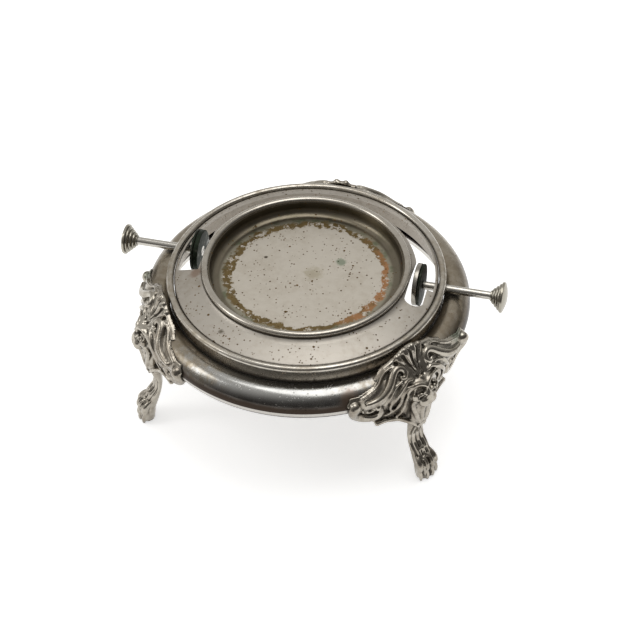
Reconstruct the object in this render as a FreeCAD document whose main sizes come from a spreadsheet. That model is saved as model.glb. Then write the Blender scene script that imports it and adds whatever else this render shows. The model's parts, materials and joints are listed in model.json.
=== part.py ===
"""Stand of a roll-top serving dish: a round body on three cast legs, with a well and two pivot pins.

Frame: +Z up, the origin on the ring's axis in the plane of the paws' soles.
+X points along the right pin, and -Y is the front, where the ledge is whole.
"""

import FreeCAD, Part
import math
import os

import Sketcher
from FreeCAD import Rotation, Vector

# Driving dimensions in millimetres.
SIZES = {
    # Ring: the bead on top of the collar gives the object's main circle.
    "crest_radius": 70.0,
    "crest_height": 81.0,
    "bead_wire_radius": 1.85,
    "bead_slot_half": 0.65,
    "collar_half_wall": 0.6,
    "collar_depth": 12.2,
    # Belly: two arcs that meet at the widest point, in sheet of one thickness.
    "belly_reach": 14.5,
    "belly_drop": 18.1,
    "shoulder_round": 9.0,
    "underside_round": 6.6,
    "shell_sheet": 1.2,
    "shell_flange": 2.5,
    "shell_gap": 0.3,
    # Foot ring under the belly, with two fine fillets outside.
    "fillet_height": 1.3,
    "fillet_round": 0.7,
    # Ledge: slopes up from the bead to the flat that the well's flange rests on.
    "ledge_sheet": 1.1,
    "ledge_rise": 3.1,
    "ledge_seat_width": 3.0,
    "ledge_cove_width": 3.4,
    "ledge_cove_drop": 1.5,
    "ledge_cove_round": 6.0,
    "ledge_edge_drop": 1.0,
    "ledge_turn": 1.2,
    "ledge_skirt": 1.7,
    "ledge_gap": 0.25,
    # Well: a shallow pan that hangs in the ledge by its flange.
    "well_radius": 49.6,
    "well_sheet": 1.3,
    "well_cove": 4.0,
    "well_floor_drop": 3.0,
    "well_flange_sheet": 0.9,
    "well_flange_width": 3.9,
    "rim_inset": 0.5,
    "rim_width": 3.6,
    "rim_foot": 0.8,
    "rim_round": 1.9,
    "seat_gap": 0.3,
    # Crescent opening behind the well, and the slots that the discs hang through.
    "crescent_inner_margin": 2.5,
    "crescent_outer_margin": 1.7,
    "crescent_left_front": 13.5,
    "slot_width": 9.4,
    "slot_front": 11.0,
    "slot_round": 5.2,
    # Pivot pins: their axis lies behind the ring's middle, just under the bead.
    "pin_back": 10.0,
    "pin_drop": 6.45,
    "pin_radius": 2.15,
    "pin_neck_radius": 1.6,
    "running_fit": 0.05,
    "bush_wall": 0.3,
    "bush_inset": 1.8,
    "bush_length": 3.6,
    "right_disc_inset": 1.3,
    "left_disc_inset": 4.9,
    "disc_radius": 11.0,
    "disc_edge": 0.35,
    "inner_disc_thickness": 2.4,
    "outer_disc_thickness": 1.2,
    "ear_gap": 0.4,
    "shoulder_gap": 0.3,
    "screw_head_radius": 2.6,
    "screw_head_depth": 0.9,
    "screw_shank_radius": 0.8,
    "screw_shank_length": 4.0,
    "screw_slot_half": 0.3,
    "screw_slot_depth": 0.5,
    # Knobs: three turned rings that widen to a flange with a domed face.
    "knob_reach": 10.0,
    "knob_root_radius": 2.9,
    "knob_neck_length": 0.7,
    "knob_ring_length": 1.5,
    "knob_ring_step": 1.35,
    "knob_ring_round": 1.15,
    "knob_flange_radius": 8.0,
    "knob_flange_length": 1.4,
    "knob_dome_height": 1.9,
    "tang_radius": 1.5,
    "tang_length": 4.5,
    # Legs: one casting design, set round the ring at three places.
    "leg_rear_degrees": 90.0,
    "leg_front_left_degrees": 209.0,
    "leg_front_right_degrees": 326.0,
    "stance_reach": 5.5,
    "paw_width": 12.6,
    "paw_length": 12.6,
    "toe_radius": 2.2,
    "toe_spread": 8.8,
    "toe_reach": 2.8,
    "tuft_radius": 2.8,
    "tuft_rise": 20.4,
    "tuft_back": 3.7,
    "stem_top_drop": 32.0,
    "knee_reach": 10.5,
    "knee_half_width": 36.0,
    "knee_drop": 45.0,
    "knee_depth": 6.0,
    "boss_sink": 0.5,
    "boss_half_width": 10.0,
    "boss_half_height": 17.0,
    "boss_drop": 22.0,
    "fan_radius": 11.5,
    "fan_drop": 13.3,
    "flute_radius": 2.2,
    "scroll_radius": 1.7,
    "ball_radius": 3.4,
    "leg_gap": 0.3,
    "overrun": 5.0,
}

# Stem and paw sections: shares of the stem's height, the stance, the paw's length and its width.
STEM_SHARES = (
    (0.0, 0.998, 0.35, 0.42),
    (0.08, 0.997, 0.43, 0.50),
    (0.16, 0.992, 0.46, 0.52),
    (0.28, 0.965, 0.41, 0.49),
    (0.36, 0.94, 0.29, 0.46),
    (0.43, 0.917, 0.19, 0.44),
    (0.53, 0.905, 0.17, 0.43),
    (0.67, 0.917, 0.26, 0.45),
    (0.82, 0.933, 0.34, 0.52),
    (1.0, 0.94, 0.36, 0.50),
)

# Knee outline, one half: shares of its half width and of its drop.
KNEE_OUTLINE_SHARES = (
    (0.0, 0.03),
    (0.22, 0.07),
    (0.34, 0.10),
    (0.48, 0.104),
    (0.56, 0.165),
    (0.66, 0.204),
    (0.81, 0.236),
    (0.93, 0.256),
    (1.04, 0.28),
    (1.10, 0.35),
    (1.08, 0.456),
    (1.01, 0.567),
    (0.90, 0.667),
    (0.72, 0.76),
    (0.61, 0.855),
    (0.47, 0.889),
    (0.305, 0.938),
    (0.14, 1.01),
)

# Knee swell: shares of its drop and of its reach from the ring's axis.
KNEE_SWELL_SHARES = (
    (-0.033, 0.789),
    (0.067, 0.805),
    (0.156, 0.832),
    (0.222, 0.863),
    (0.289, 0.889),
    (0.378, 0.905),
    (0.467, 0.903),
    (0.556, 0.891),
    (0.689, 0.876),
    (0.844, 0.866),
    (1.03, 0.862),
)

# Scrolls on the knee, one half: shares of its half width, its drop and its reach.
UPPER_SCROLL_SHARES = (
    (0.22, 0.19, 0.85),
    (0.38, 0.165, 0.842),
    (0.56, 0.275, 0.884),
    (0.78, 0.345, 0.9),
    (1.01, 0.39, 0.888),
)
LOWER_SCROLL_SHARES = (
    (1.01, 0.39, 0.888),
    (1.08, 0.46, 0.897),
    (0.98, 0.565, 0.889),
    (0.83, 0.665, 0.878),
    (0.68, 0.7, 0.875),
    (0.59, 0.62, 0.884),
)

FAN_BASE_SHARE = 0.926
TOE_COUNT = 4
FLUTE_COUNT = 5
KNOB_RING_COUNT = 3
OVAL_POINTS = 12
LOFT_DEGREE = 3
FAN_DEGREES = 108.0
KNEE_DEGREES = 70.0
FULL_TURN = 360.0
HALF_TURN = 180.0
UP = Vector(0, 0, 1)


class Size:
    """A size with the formula that binds it to the sheet."""

    def __init__(self, value, formula):
        self.value = value
        self.formula = formula

    def _join(self, sign, other, value):
        return Size(value, f"({self.formula} {sign} {other.formula})")

    def __add__(self, other):
        return self._join("+", other, self.value + other.value)

    def __sub__(self, other):
        return self._join("-", other, self.value - other.value)

    def __mul__(self, other):
        return self._join("*", other, self.value * other.value)

    def __truediv__(self, other):
        return self._join("/", other, self.value / other.value)

    def __neg__(self):
        return Size(-self.value, f"(-{self.formula})")

    def root(self):
        """The square root."""
        return Size(math.sqrt(self.value), f"sqrt({self.formula})")


class Sizes:
    """The sheet's sizes by name."""

    def __getattr__(self, name):
        return Size(float(sheet.get(name)), f"Sizes.{name}")


doc = FreeCAD.newDocument("roll_top_stand")
sheet = doc.addObject("Spreadsheet::Sheet", "Sizes")
for row, (alias, number) in enumerate(SIZES.items(), start=1):
    sheet.set(f"A{row}", alias)
    sheet.set(f"B{row}", str(number))
    sheet.setAlias(f"B{row}", alias)
doc.recompute()

S = Sizes()
ZERO = Size(0.0, "0")
sub_parts = []


def leg_of_right_angle(long_side, short_side):
    """The other side of a right-angled triangle, from its longest side and one more."""
    return (long_side * long_side - short_side * short_side).root()


def plane_of(body, role):
    """The body's own origin plane or axis of that role."""
    return next(part for part in body.Origin.OriginFeatures if part.Role == role)


def arc_between(start, end, radius, turn, large):
    """An arc from start to end: turn is 1 for anticlockwise and -1 for clockwise."""
    chord = end - start
    middle = (start + end) * 0.5
    half_chord = chord.Length / 2
    rise = math.sqrt(radius**2 - half_chord**2)
    side = -turn if large else turn
    across = Vector(-chord.y, chord.x, 0).normalize()
    centre = middle + across * (side * rise)
    first, last = (start, end) if turn > 0 else (end, start)
    angles = [math.atan2(p.y - centre.y, p.x - centre.x) for p in (first, last)]
    if angles[1] <= angles[0]:
        angles[1] += 2 * math.pi
    return Part.ArcOfCircle(Part.Circle(centre, UP, radius), angles[0], angles[1])


def bind_point(sketch, edge, corner, across, up):
    """Hold one end of an edge at two sizes from the sketch's origin."""
    for kind, axis, size in (("DistanceX", -2, across), ("DistanceY", -1, up)):
        if size.formula == "0":
            sketch.addConstraint(Sketcher.Constraint("PointOnObject", edge, corner, axis))
            continue
        index = sketch.addConstraint(Sketcher.Constraint(kind, -1, 1, edge, corner, size.value))
        sketch.setExpression(f"Constraints[{index}]", size.formula)


def outline_sketch(body, name, role, outline):
    """A closed sketch through the outline's corners.

    Each corner is (across, up) and starts a straight edge, or (across, up, radius, turn) or
    (across, up, radius, turn, large) and starts an arc of that radius.
    """
    sketch = body.newObject("Sketcher::SketchObject", name)
    sketch.AttachmentSupport = [(plane_of(body, role), "")]
    sketch.MapMode = "FlatFace"
    corners = [Vector(corner[0].value, corner[1].value, 0) for corner in outline]
    starts = []
    for index, corner in enumerate(outline):
        start, end = corners[index], corners[(index + 1) % len(outline)]
        if len(corner) == 2:
            sketch.addGeometry(Part.LineSegment(start, end))
            starts.append(1)
            continue
        radius, turn = corner[2], corner[3]
        large = len(corner) > 4 and corner[4]
        sketch.addGeometry(arc_between(start, end, radius.value, turn, large))
        starts.append(1 if turn > 0 else 2)
        constraint = sketch.addConstraint(Sketcher.Constraint("Radius", index, radius.value))
        sketch.setExpression(f"Constraints[{constraint}]", radius.formula)
    for index, corner in enumerate(outline):
        following = (index + 1) % len(outline)
        sketch.addConstraint(
            Sketcher.Constraint("Coincident", index, 3 - starts[index], following, starts[following])
        )
        bind_point(sketch, index, starts[index], corner[0], corner[1])
    return sketch


def new_body(name):
    """A body that is exported under its own name."""
    body = doc.addObject("PartDesign::Body", name)
    body.Label = name
    sub_parts.append(body)
    return body


def turned_body(name, outline, axis="V_Axis"):
    """A body turned about the upright or the level axis of its outline's plane."""
    body = new_body(name)
    sketch = outline_sketch(body, name + "_outline", "XZ_Plane", outline)
    turning = body.newObject("PartDesign::Revolution", name + "_turning")
    turning.Profile = sketch
    turning.ReferenceAxis = (sketch, [axis])
    turning.Angle = FULL_TURN
    return body


def cut_out(body, name, sketch, side_type, length=None):
    """Cut a sketch's outline out of the body and check that it took something away."""
    doc.recompute()
    before = body.Shape.Volume
    cut = body.newObject("PartDesign::Pocket", name)
    cut.Profile = sketch
    cut.SideType = side_type
    cut.Reversed = side_type == "One side"
    if length:
        cut.setExpression("Length", length.formula)
    else:
        cut.Type = "ThroughAll"
    doc.recompute()
    if body.Shape.Volume >= before:
        raise RuntimeError(name + " cuts nothing")


def place_on_pin_axis(body, side, along):
    """Lay a body that is turned about X on the pin axis, at a distance from the ring's axis."""
    turn = 0.0 if side > 0 else HALF_TURN
    body.Placement = FreeCAD.Placement(Vector(), Rotation(UP, turn))
    reach = along if side > 0 else -along
    body.setExpression("Placement.Base.x", reach.formula)
    body.setExpression("Placement.Base.y", S.pin_back.formula)
    body.setExpression("Placement.Base.z", pin_height.formula)


# Heights and radii that several pieces share.
bead_middle = S.crest_height - S.bead_wire_radius
collar_inner = S.crest_radius - S.collar_half_wall
collar_outer = S.crest_radius + S.collar_half_wall
belly_radius = S.crest_radius + S.belly_reach
belly_middle = S.crest_height - S.belly_drop
shoulder_centre = belly_radius - S.shoulder_round
underside_centre = belly_radius - S.underside_round
belly_bottom = belly_middle - S.underside_round
shell_inner = collar_outer + S.shell_gap
foot_inner = underside_centre - S.shell_flange
foot_bottom = belly_bottom - S.fillet_height - S.fillet_height
ledge_outer = S.crest_radius - S.bead_wire_radius - S.ledge_gap
ledge_top = S.crest_height + S.ledge_rise
well_outer = S.well_radius + S.well_sheet
well_floor = S.crest_height - S.well_floor_drop
flange_top = ledge_top + S.well_flange_sheet
flange_outer = S.well_radius + S.well_flange_width
ledge_hole = well_outer + S.seat_gap
ledge_seat = ledge_hole + S.ledge_seat_width
crescent_inner = ledge_seat + S.crescent_inner_margin
crescent_outer = ledge_outer - S.crescent_outer_margin
slot_inner = flange_outer + S.seat_gap
slot_outer = slot_inner + S.slot_width
pin_height = S.crest_height - S.pin_drop
pin_bore = S.pin_radius + S.running_fit
bush_outer = pin_bore + S.bush_wall
knob_place = belly_radius + S.knob_reach


def build_body_shell():
    """The spun belly, open underneath."""
    inner_round = S.shoulder_round - S.shell_sheet
    inner_under = S.underside_round - S.shell_sheet
    neck = shoulder_centre - shell_inner
    outer_start = belly_middle + leg_of_right_angle(S.shoulder_round, neck)
    inner_start = belly_middle + leg_of_right_angle(inner_round, neck)
    turned_body(
        "body_shell",
        (
            (shell_inner, outer_start, S.shoulder_round, -1),
            (belly_radius, belly_middle, S.underside_round, -1),
            (underside_centre, belly_bottom),
            (foot_inner, belly_bottom),
            (foot_inner, belly_bottom + S.shell_sheet),
            (underside_centre, belly_bottom + S.shell_sheet, inner_under, 1),
            (belly_radius - S.shell_sheet, belly_middle, inner_round, 1),
            (shell_inner, inner_start),
        ),
    )


def build_neck_collar():
    """The upright band that carries the bead, drilled on the pin axis."""
    top, bottom = bead_middle, bead_middle - S.collar_depth
    body = turned_body(
        "neck_collar",
        ((collar_inner, top), (collar_outer, top), (collar_outer, bottom), (collar_inner, bottom)),
    )
    sketch = body.newObject("Sketcher::SketchObject", "pin_holes_outline")
    sketch.AttachmentSupport = [(plane_of(body, "YZ_Plane"), "")]
    sketch.MapMode = "FlatFace"
    hole = bush_outer + S.running_fit
    centre = Vector(S.pin_back.value, pin_height.value, 0)
    sketch.addGeometry(Part.Circle(centre, UP, hole.value))
    bind_point(sketch, 0, 3, S.pin_back, pin_height)
    index = sketch.addConstraint(Sketcher.Constraint("Radius", 0, hole.value))
    sketch.setExpression(f"Constraints[{index}]", hole.formula)
    cut_out(body, "pin_holes", sketch, "Symmetric")


def build_top_bead():
    """The round wire, slotted underneath for the collar's edge."""
    lower = bead_middle - leg_of_right_angle(S.bead_wire_radius, S.bead_slot_half)
    left, right = S.crest_radius - S.bead_slot_half, S.crest_radius + S.bead_slot_half
    turned_body(
        "top_bead",
        (
            (left, lower, S.bead_wire_radius, -1, True),
            (right, lower),
            (right, bead_middle),
            (left, bead_middle),
        ),
    )


def build_base_rim():
    """The foot ring with two fine fillets outside."""
    middle = belly_bottom - S.fillet_height
    turned_body(
        "base_rim",
        (
            (foot_inner, foot_bottom),
            (underside_centre, foot_bottom, S.fillet_round, 1),
            (underside_centre, middle, S.fillet_round, 1),
            (underside_centre, belly_bottom),
            (foot_inner, belly_bottom),
        ),
    )


def build_ledge_plate():
    """The sloping top plate, with the crescent and the slots cut out in one outline."""
    cove = ledge_seat + S.ledge_cove_width
    cove_top = ledge_top - S.ledge_cove_drop
    edge = ledge_outer - S.ledge_turn
    edge_top = S.crest_height - S.ledge_edge_drop
    turn_top = edge_top - S.ledge_turn
    bottom = turn_top - S.ledge_skirt
    inside = ledge_outer - S.ledge_sheet
    body = turned_body(
        "ledge_plate",
        (
            (ledge_hole, ledge_top - S.ledge_sheet),
            (ledge_seat, ledge_top - S.ledge_sheet, S.ledge_cove_round, 1),
            (cove, cove_top - S.ledge_sheet),
            (edge, edge_top - S.ledge_sheet),
            (inside, turn_top - S.ledge_sheet),
            (inside, bottom),
            (ledge_outer, bottom),
            (ledge_outer, turn_top, S.ledge_turn, 1),
            (edge, edge_top),
            (cove, cove_top, S.ledge_cove_round, -1),
            (ledge_seat, ledge_top),
            (ledge_hole, ledge_top),
        ),
    )
    left_end = -leg_of_right_angle(crescent_outer, S.crescent_left_front)
    rear_corner = leg_of_right_angle(crescent_inner, slot_inner)
    opening = outline_sketch(
        body,
        "crescent_outline",
        "XY_Plane",
        (
            (crescent_outer, ZERO, crescent_outer, 1, True),
            (left_end, -S.crescent_left_front),
            (-slot_inner, -S.crescent_left_front),
            (-slot_inner, rear_corner, crescent_inner, -1),
            (slot_inner, rear_corner),
            (slot_inner, -S.slot_front, S.slot_round, 1),
            (slot_outer, -S.slot_front),
            (slot_outer, ZERO),
        ),
    )
    cut_out(body, "crescent_cut", opening, "One side")


def build_dish_well():
    """The pan: a flat floor, a coved corner, a wall and a flange that rests on the ledge."""
    cove_middle = well_floor + S.well_cove
    cove_centre = S.well_radius - S.well_cove
    turned_body(
        "dish_well",
        (
            (ZERO, well_floor - S.well_sheet),
            (cove_centre, well_floor - S.well_sheet, S.well_cove + S.well_sheet, 1),
            (well_outer, cove_middle),
            (well_outer, ledge_top),
            (flange_outer, ledge_top),
            (flange_outer, flange_top),
            (S.well_radius, flange_top),
            (S.well_radius, cove_middle, S.well_cove, -1),
            (cove_centre, well_floor),
            (ZERO, well_floor),
        ),
    )


def build_dish_rim():
    """The half-round wire on the pan's flange."""
    left = S.well_radius + S.rim_inset
    right = left + S.rim_width
    foot = flange_top + S.rim_foot
    turned_body(
        "dish_rim",
        ((left, flange_top), (right, flange_top), (right, foot, S.rim_round, 1), (left, foot)),
    )


def build_bush(side, name):
    """A thin sleeve in the collar's hole."""
    body = turned_body(
        name,
        (
            (ZERO, pin_bore),
            (S.bush_length, pin_bore),
            (S.bush_length, bush_outer),
            (ZERO, bush_outer),
        ),
        "H_Axis",
    )
    place_on_pin_axis(body, side, collar_inner - S.bush_inset)


def disc_outline(thickness, bore):
    """The section of a disc with broken edges and a plain bore."""
    return (
        (ZERO, bore),
        (thickness, bore),
        (thickness, S.disc_radius - S.disc_edge),
        (thickness - S.disc_edge, S.disc_radius),
        (S.disc_edge, S.disc_radius),
        (ZERO, S.disc_radius - S.disc_edge),
    )


def build_inner_disc(side, name, place):
    """The disc on the pin's end, countersunk for its screw."""
    bore = S.pin_neck_radius + S.running_fit
    sink = S.screw_head_radius + S.running_fit
    body = turned_body(
        name,
        ((S.screw_head_depth, bore),)
        + disc_outline(S.inner_disc_thickness, bore)[1:]
        + ((ZERO, sink), (S.screw_head_depth, sink)),
        "H_Axis",
    )
    place_on_pin_axis(body, side, place)


def build_outer_disc(side, name, place):
    """The loose disc between the inner one and the pin's shoulder."""
    bore = S.pin_neck_radius + S.running_fit
    body = turned_body(name, disc_outline(S.outer_disc_thickness, bore), "H_Axis")
    place_on_pin_axis(body, side, place + S.inner_disc_thickness + S.ear_gap)


def build_spindle(side, name, place):
    """The pin: a neck for the discs, the running length and a tang for the knob."""
    shoulder = S.inner_disc_thickness + S.ear_gap + S.outer_disc_thickness + S.shoulder_gap
    neck_end = S.screw_head_depth
    hole = S.screw_shank_radius + S.running_fit
    hole_end = S.screw_head_depth + S.screw_shank_length
    seat = knob_place - place
    tang_end = seat + S.tang_length
    body = turned_body(
        name,
        (
            (neck_end, hole),
            (hole_end, hole),
            (hole_end, ZERO),
            (tang_end, ZERO),
            (tang_end, S.tang_radius),
            (seat, S.tang_radius),
            (seat, S.pin_radius),
            (shoulder, S.pin_radius),
            (shoulder, S.pin_neck_radius),
            (neck_end, S.pin_neck_radius),
        ),
        "H_Axis",
    )
    place_on_pin_axis(body, side, place)


def build_disc_screw(side, name, place):
    """The countersunk screw with a slotted head."""
    body = turned_body(
        name,
        (
            (ZERO, ZERO),
            (S.screw_shank_length, ZERO),
            (S.screw_shank_length, S.screw_shank_radius),
            (S.screw_head_depth, S.screw_shank_radius),
            (S.screw_head_depth, S.screw_head_radius),
            (ZERO, S.screw_head_radius),
        ),
        "H_Axis",
    )
    slot = outline_sketch(
        body,
        name + "_slot_outline",
        "XZ_Plane",
        (
            (-S.overrun, -S.screw_slot_half),
            (S.screw_slot_depth, -S.screw_slot_half),
            (S.screw_slot_depth, S.screw_slot_half),
            (-S.overrun, S.screw_slot_half),
        ),
    )
    cut_out(body, name + "_slot", slot, "Symmetric")
    place_on_pin_axis(body, side, place)


def build_knob(side, name):
    """The knob: rounded rings that widen towards a flange with a domed face."""
    bore = S.tang_radius + S.running_fit
    bore_end = S.tang_length + S.seat_gap
    along, radius = S.knob_neck_length, S.knob_root_radius
    outline = [(ZERO, bore), (ZERO, radius)]
    for _ in range(KNOB_RING_COUNT):
        outline.append((along, radius, S.knob_ring_round, -1))
        along, radius = along + S.knob_ring_length, radius + S.knob_ring_step
    flange, dome = S.knob_flange_radius, S.knob_dome_height
    face = along + S.knob_flange_length
    dome_round = (flange * flange + dome * dome) / (dome + dome)
    outline += [
        (along, radius),
        (along, flange),
        (face, flange, dome_round, -1),
        (face + dome, ZERO),
        (bore_end, ZERO),
        (bore_end, bore),
    ]
    body = turned_body(name, outline, "H_Axis")
    place_on_pin_axis(body, side, knob_place)


def rod(start, end, radius):
    """A straight round rod with ball ends."""
    run = end - start
    pieces = [Part.makeCylinder(radius, run.Length, start, run)]
    pieces += [Part.makeSphere(radius, point) for point in (start, end)]
    return pieces


def chain(points, radius):
    """Rods from point to point."""
    pieces = []
    for start, end in zip(points, points[1:]):
        pieces += rod(start, end, radius)
    return pieces


def on_knee(width_share, drop_share, reach_share):
    """A point on the knee's surface, from shares of its half width, its drop and its reach."""
    across = width_share * S.knee_half_width.value
    reach = reach_share * (belly_radius + S.knee_reach).value
    height = S.crest_height.value - drop_share * S.knee_drop.value
    return Vector(math.sqrt(reach**2 - across**2), across, height)


def mirrored(points):
    """The same points on the other half of the leg."""
    return [Vector(point.x, -point.y, point.z) for point in points]


def smooth_wire(points, closed):
    """A smooth curve through points."""
    curve = Part.BSplineCurve()
    curve.interpolate(Points=points, PeriodicFlag=closed)
    return curve.toShape()


def stem_and_paw():
    """The stem and the paw, through oval sections."""
    top = (S.crest_height - S.stem_top_drop).value
    stance = (belly_radius + S.stance_reach).value
    length, width = S.paw_length.value, S.paw_width.value
    sections = []
    for height_share, stance_share, length_share, width_share in STEM_SHARES:
        centre = Vector(stance_share * stance, 0, height_share * top)
        turns = [index * 2 * math.pi / OVAL_POINTS for index in range(OVAL_POINTS)]
        oval = [
            centre + Vector(math.cos(turn) * length_share * length, math.sin(turn) * width_share * width, 0)
            for turn in turns
        ]
        sections.append(Part.Wire([smooth_wire(oval, True)]))
    return Part.makeLoft(sections, True, False, False, LOFT_DEGREE)


def toes():
    """The toes, side by side on the front of the paw."""
    stance = (belly_radius + S.stance_reach).value
    radius, reach, spread = S.toe_radius.value, S.toe_reach.value, S.toe_spread.value
    pieces = []
    for index in range(TOE_COUNT):
        across = (index / (TOE_COUNT - 1) - 0.5) * spread
        knuckle = Vector(stance, across, radius + reach)
        pieces += rod(knuckle, Vector(stance + reach, across, radius), radius)
    return pieces


def tuft():
    """The lump of fur on the stem over the paw."""
    reach = (belly_radius + S.stance_reach - S.tuft_back).value
    return Part.makeSphere(S.tuft_radius.value, Vector(reach, 0, S.tuft_rise.value))


def knee_plate(room):
    """The knee's plate: a swelling band round the belly, cut to the scrolled outline."""
    drop, reach = S.knee_drop.value, (belly_radius + S.knee_reach).value
    top = S.crest_height.value
    swell = [Vector(share * reach, 0, top - down * drop) for down, share in KNEE_SWELL_SHARES]
    back = [point - Vector(S.knee_depth.value, 0, 0) for point in swell]
    edges = [smooth_wire(swell, False), smooth_wire(back, False)]
    edges += [Part.makeLine(*pair) for pair in zip(swell[::len(swell) - 1], back[::len(back) - 1])]
    face = Part.Face(Part.Wire(Part.sortEdges(edges)[0]))
    face.rotate(Vector(), UP, -KNEE_DEGREES / 2)
    band = face.revolve(Vector(), UP, KNEE_DEGREES).cut(room)
    half = [
        Vector(0, across * S.knee_half_width.value, top - down * drop)
        for across, down in KNEE_OUTLINE_SHARES
    ]
    outline = Part.Face(Part.Wire([smooth_wire(half + mirrored(half[:0:-1]), True)]))
    return band.common(outline.extrude(Vector(reach + S.overrun.value, 0, 0)))


def boss():
    """The egg-shaped swelling in the middle of the knee."""
    width, height = S.boss_half_width.value, S.boss_half_height.value
    centre = Vector((belly_radius - S.boss_sink).value, 0, (S.crest_height - S.boss_drop).value)
    ends = [centre + UP * height, centre - UP * height]
    oval = Part.Ellipse(ends[0], centre + Vector(width, 0, 0), centre)
    half = Part.Arc(oval, 0, math.pi).toShape()
    face = Part.Face(Part.Wire([half, Part.makeLine(half.lastVertex().Point, half.firstVertex().Point)]))
    return face.revolve(centre, UP, FULL_TURN)


def shell_crest():
    """The fan of flutes that stands above the knee."""
    radius, fan = S.flute_radius.value, S.fan_radius.value
    half_width, drop = S.knee_half_width.value, S.knee_drop.value
    base = S.fan_drop.value / drop
    pieces = []
    for index in range(FLUTE_COUNT):
        angle = math.radians((index / (FLUTE_COUNT - 1) - 0.5) * FAN_DEGREES)
        across, up = math.sin(angle) * fan / half_width, math.cos(angle) * fan / drop
        start = on_knee(0.0, base, FAN_BASE_SHARE)
        pieces += rod(start, on_knee(across, base - up, KNEE_SWELL_SHARES[0][1]), radius)
    return pieces


def scrolls():
    """The scrolls at both sides of the knee, with a ball at each end."""
    radius = S.scroll_radius.value
    upper = [on_knee(*shares) for shares in UPPER_SCROLL_SHARES]
    lower = [on_knee(*shares) for shares in LOWER_SCROLL_SHARES]
    pieces = []
    for points in (upper, lower):
        pieces += chain(points, radius) + chain(mirrored(points), radius)
    pieces += [Part.makeSphere(S.ball_radius.value, point) for point in (upper[-1], mirrored(upper)[-1])]
    return pieces


def arc_round(centre, radius, first, last):
    """An upright arc about a centre, from one angle to another."""
    angles = (first, (first + last) / 2, last)
    points = [centre + Vector(math.cos(angle), 0, math.sin(angle)) * radius for angle in angles]
    return Part.Arc(*points).toShape()


def body_room():
    """The room that the body takes, with the solder gap round it."""
    gap, top = S.leg_gap.value, S.crest_height.value + S.overrun.value
    bottom = foot_bottom.value - gap
    ring = (S.crest_radius + S.bead_wire_radius).value + gap
    foot = (underside_centre + S.fillet_round).value + gap
    under, over = S.underside_round.value + gap, S.shoulder_round.value + gap
    under_centre = Vector(underside_centre.value, 0, belly_middle.value)
    over_centre = Vector(shoulder_centre.value, 0, belly_middle.value)
    arcs = [
        arc_round(under_centre, under, -math.acos((foot - under_centre.x) / under), 0),
        arc_round(over_centre, over, 0, math.acos((ring - over_centre.x) / over)),
    ]
    corners = [
        arcs[1].lastVertex().Point,
        Vector(ring, 0, top),
        Vector(0, 0, top),
        Vector(0, 0, bottom),
        Vector(foot, 0, bottom),
        arcs[0].firstVertex().Point,
    ]
    lines = [Part.makeLine(*pair) for pair in zip(corners, corners[1:])]
    return Part.Face(Part.Wire(arcs + lines)).revolve(Vector(), UP, FULL_TURN)


def build_legs():
    """Three castings of one design, soldered to the belly."""
    room = body_room()
    casting = knee_plate(room).fuse(boss()).fuse(stem_and_paw())
    for pieces in ([tuft()] + toes(), shell_crest(), scrolls()):
        casting = casting.multiFuse(pieces)
    side = (belly_radius + S.knee_reach + S.knee_half_width).value
    top = S.crest_height.value + S.overrun.value
    above_floor = Part.makeBox(side + side, side + side, top, Vector(-side, -side, 0))
    casting = casting.cut(room).common(above_floor)
    for name, place in (
        ("leg_rear", S.leg_rear_degrees),
        ("leg_front_left", S.leg_front_left_degrees),
        ("leg_front_right", S.leg_front_right_degrees),
    ):
        leg = doc.addObject("Part::Feature", name)
        leg.Label = name
        leg.Shape = casting
        leg.Placement = FreeCAD.Placement(Vector(), Rotation(UP, place.value))
        sub_parts.append(leg)


def build_pin_group(side, word, inset):
    """The pieces on one pin, from its disc screw to its knob."""
    place = slot_inner + inset
    build_bush(side, word + "_bush")
    build_disc_screw(side, word + "_disc_screw", place)
    build_inner_disc(side, word + "_inner_disc", place)
    build_outer_disc(side, word + "_outer_disc", place)
    build_spindle(side, word + "_spindle", place)
    build_knob(side, word + "_knob")


def check_and_export():
    """Stop at any failed object or bad shape, then write one file per sub-part."""
    doc.recompute()
    for item in doc.Objects:
        if "Invalid" in item.State or "Error" in item.State:
            raise RuntimeError(f"{item.Name} failed: {item.State}")
    for item in sub_parts:
        if item.Shape.isNull() or not item.Shape.isValid():
            raise RuntimeError(item.Label + " has a bad shape")
    os.makedirs("parts", exist_ok=True)
    for item in sub_parts:
        item.Shape.exportStep(os.path.join("parts", item.Label + ".step"))
        box = item.Shape.BoundBox
        print(item.Label, len(item.Shape.Solids), round(item.Shape.Volume, 1), box)


build_body_shell()
build_neck_collar()
build_top_bead()
build_base_rim()
build_ledge_plate()
build_dish_well()
build_dish_rim()
build_legs()
build_pin_group(1, "right", S.right_disc_inset)
build_pin_group(-1, "left", S.left_disc_inset)
check_and_export()
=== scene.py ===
"""Looks of a roll-top dish stand: worn silver plate on turned rings, turned pins and cast legs."""

import json
import logging
import math
from collections.abc import Callable, Iterable, Sequence
from dataclasses import dataclass
from enum import Enum

import bpy
import numpy as np
from mathutils import Matrix, Vector


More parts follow.
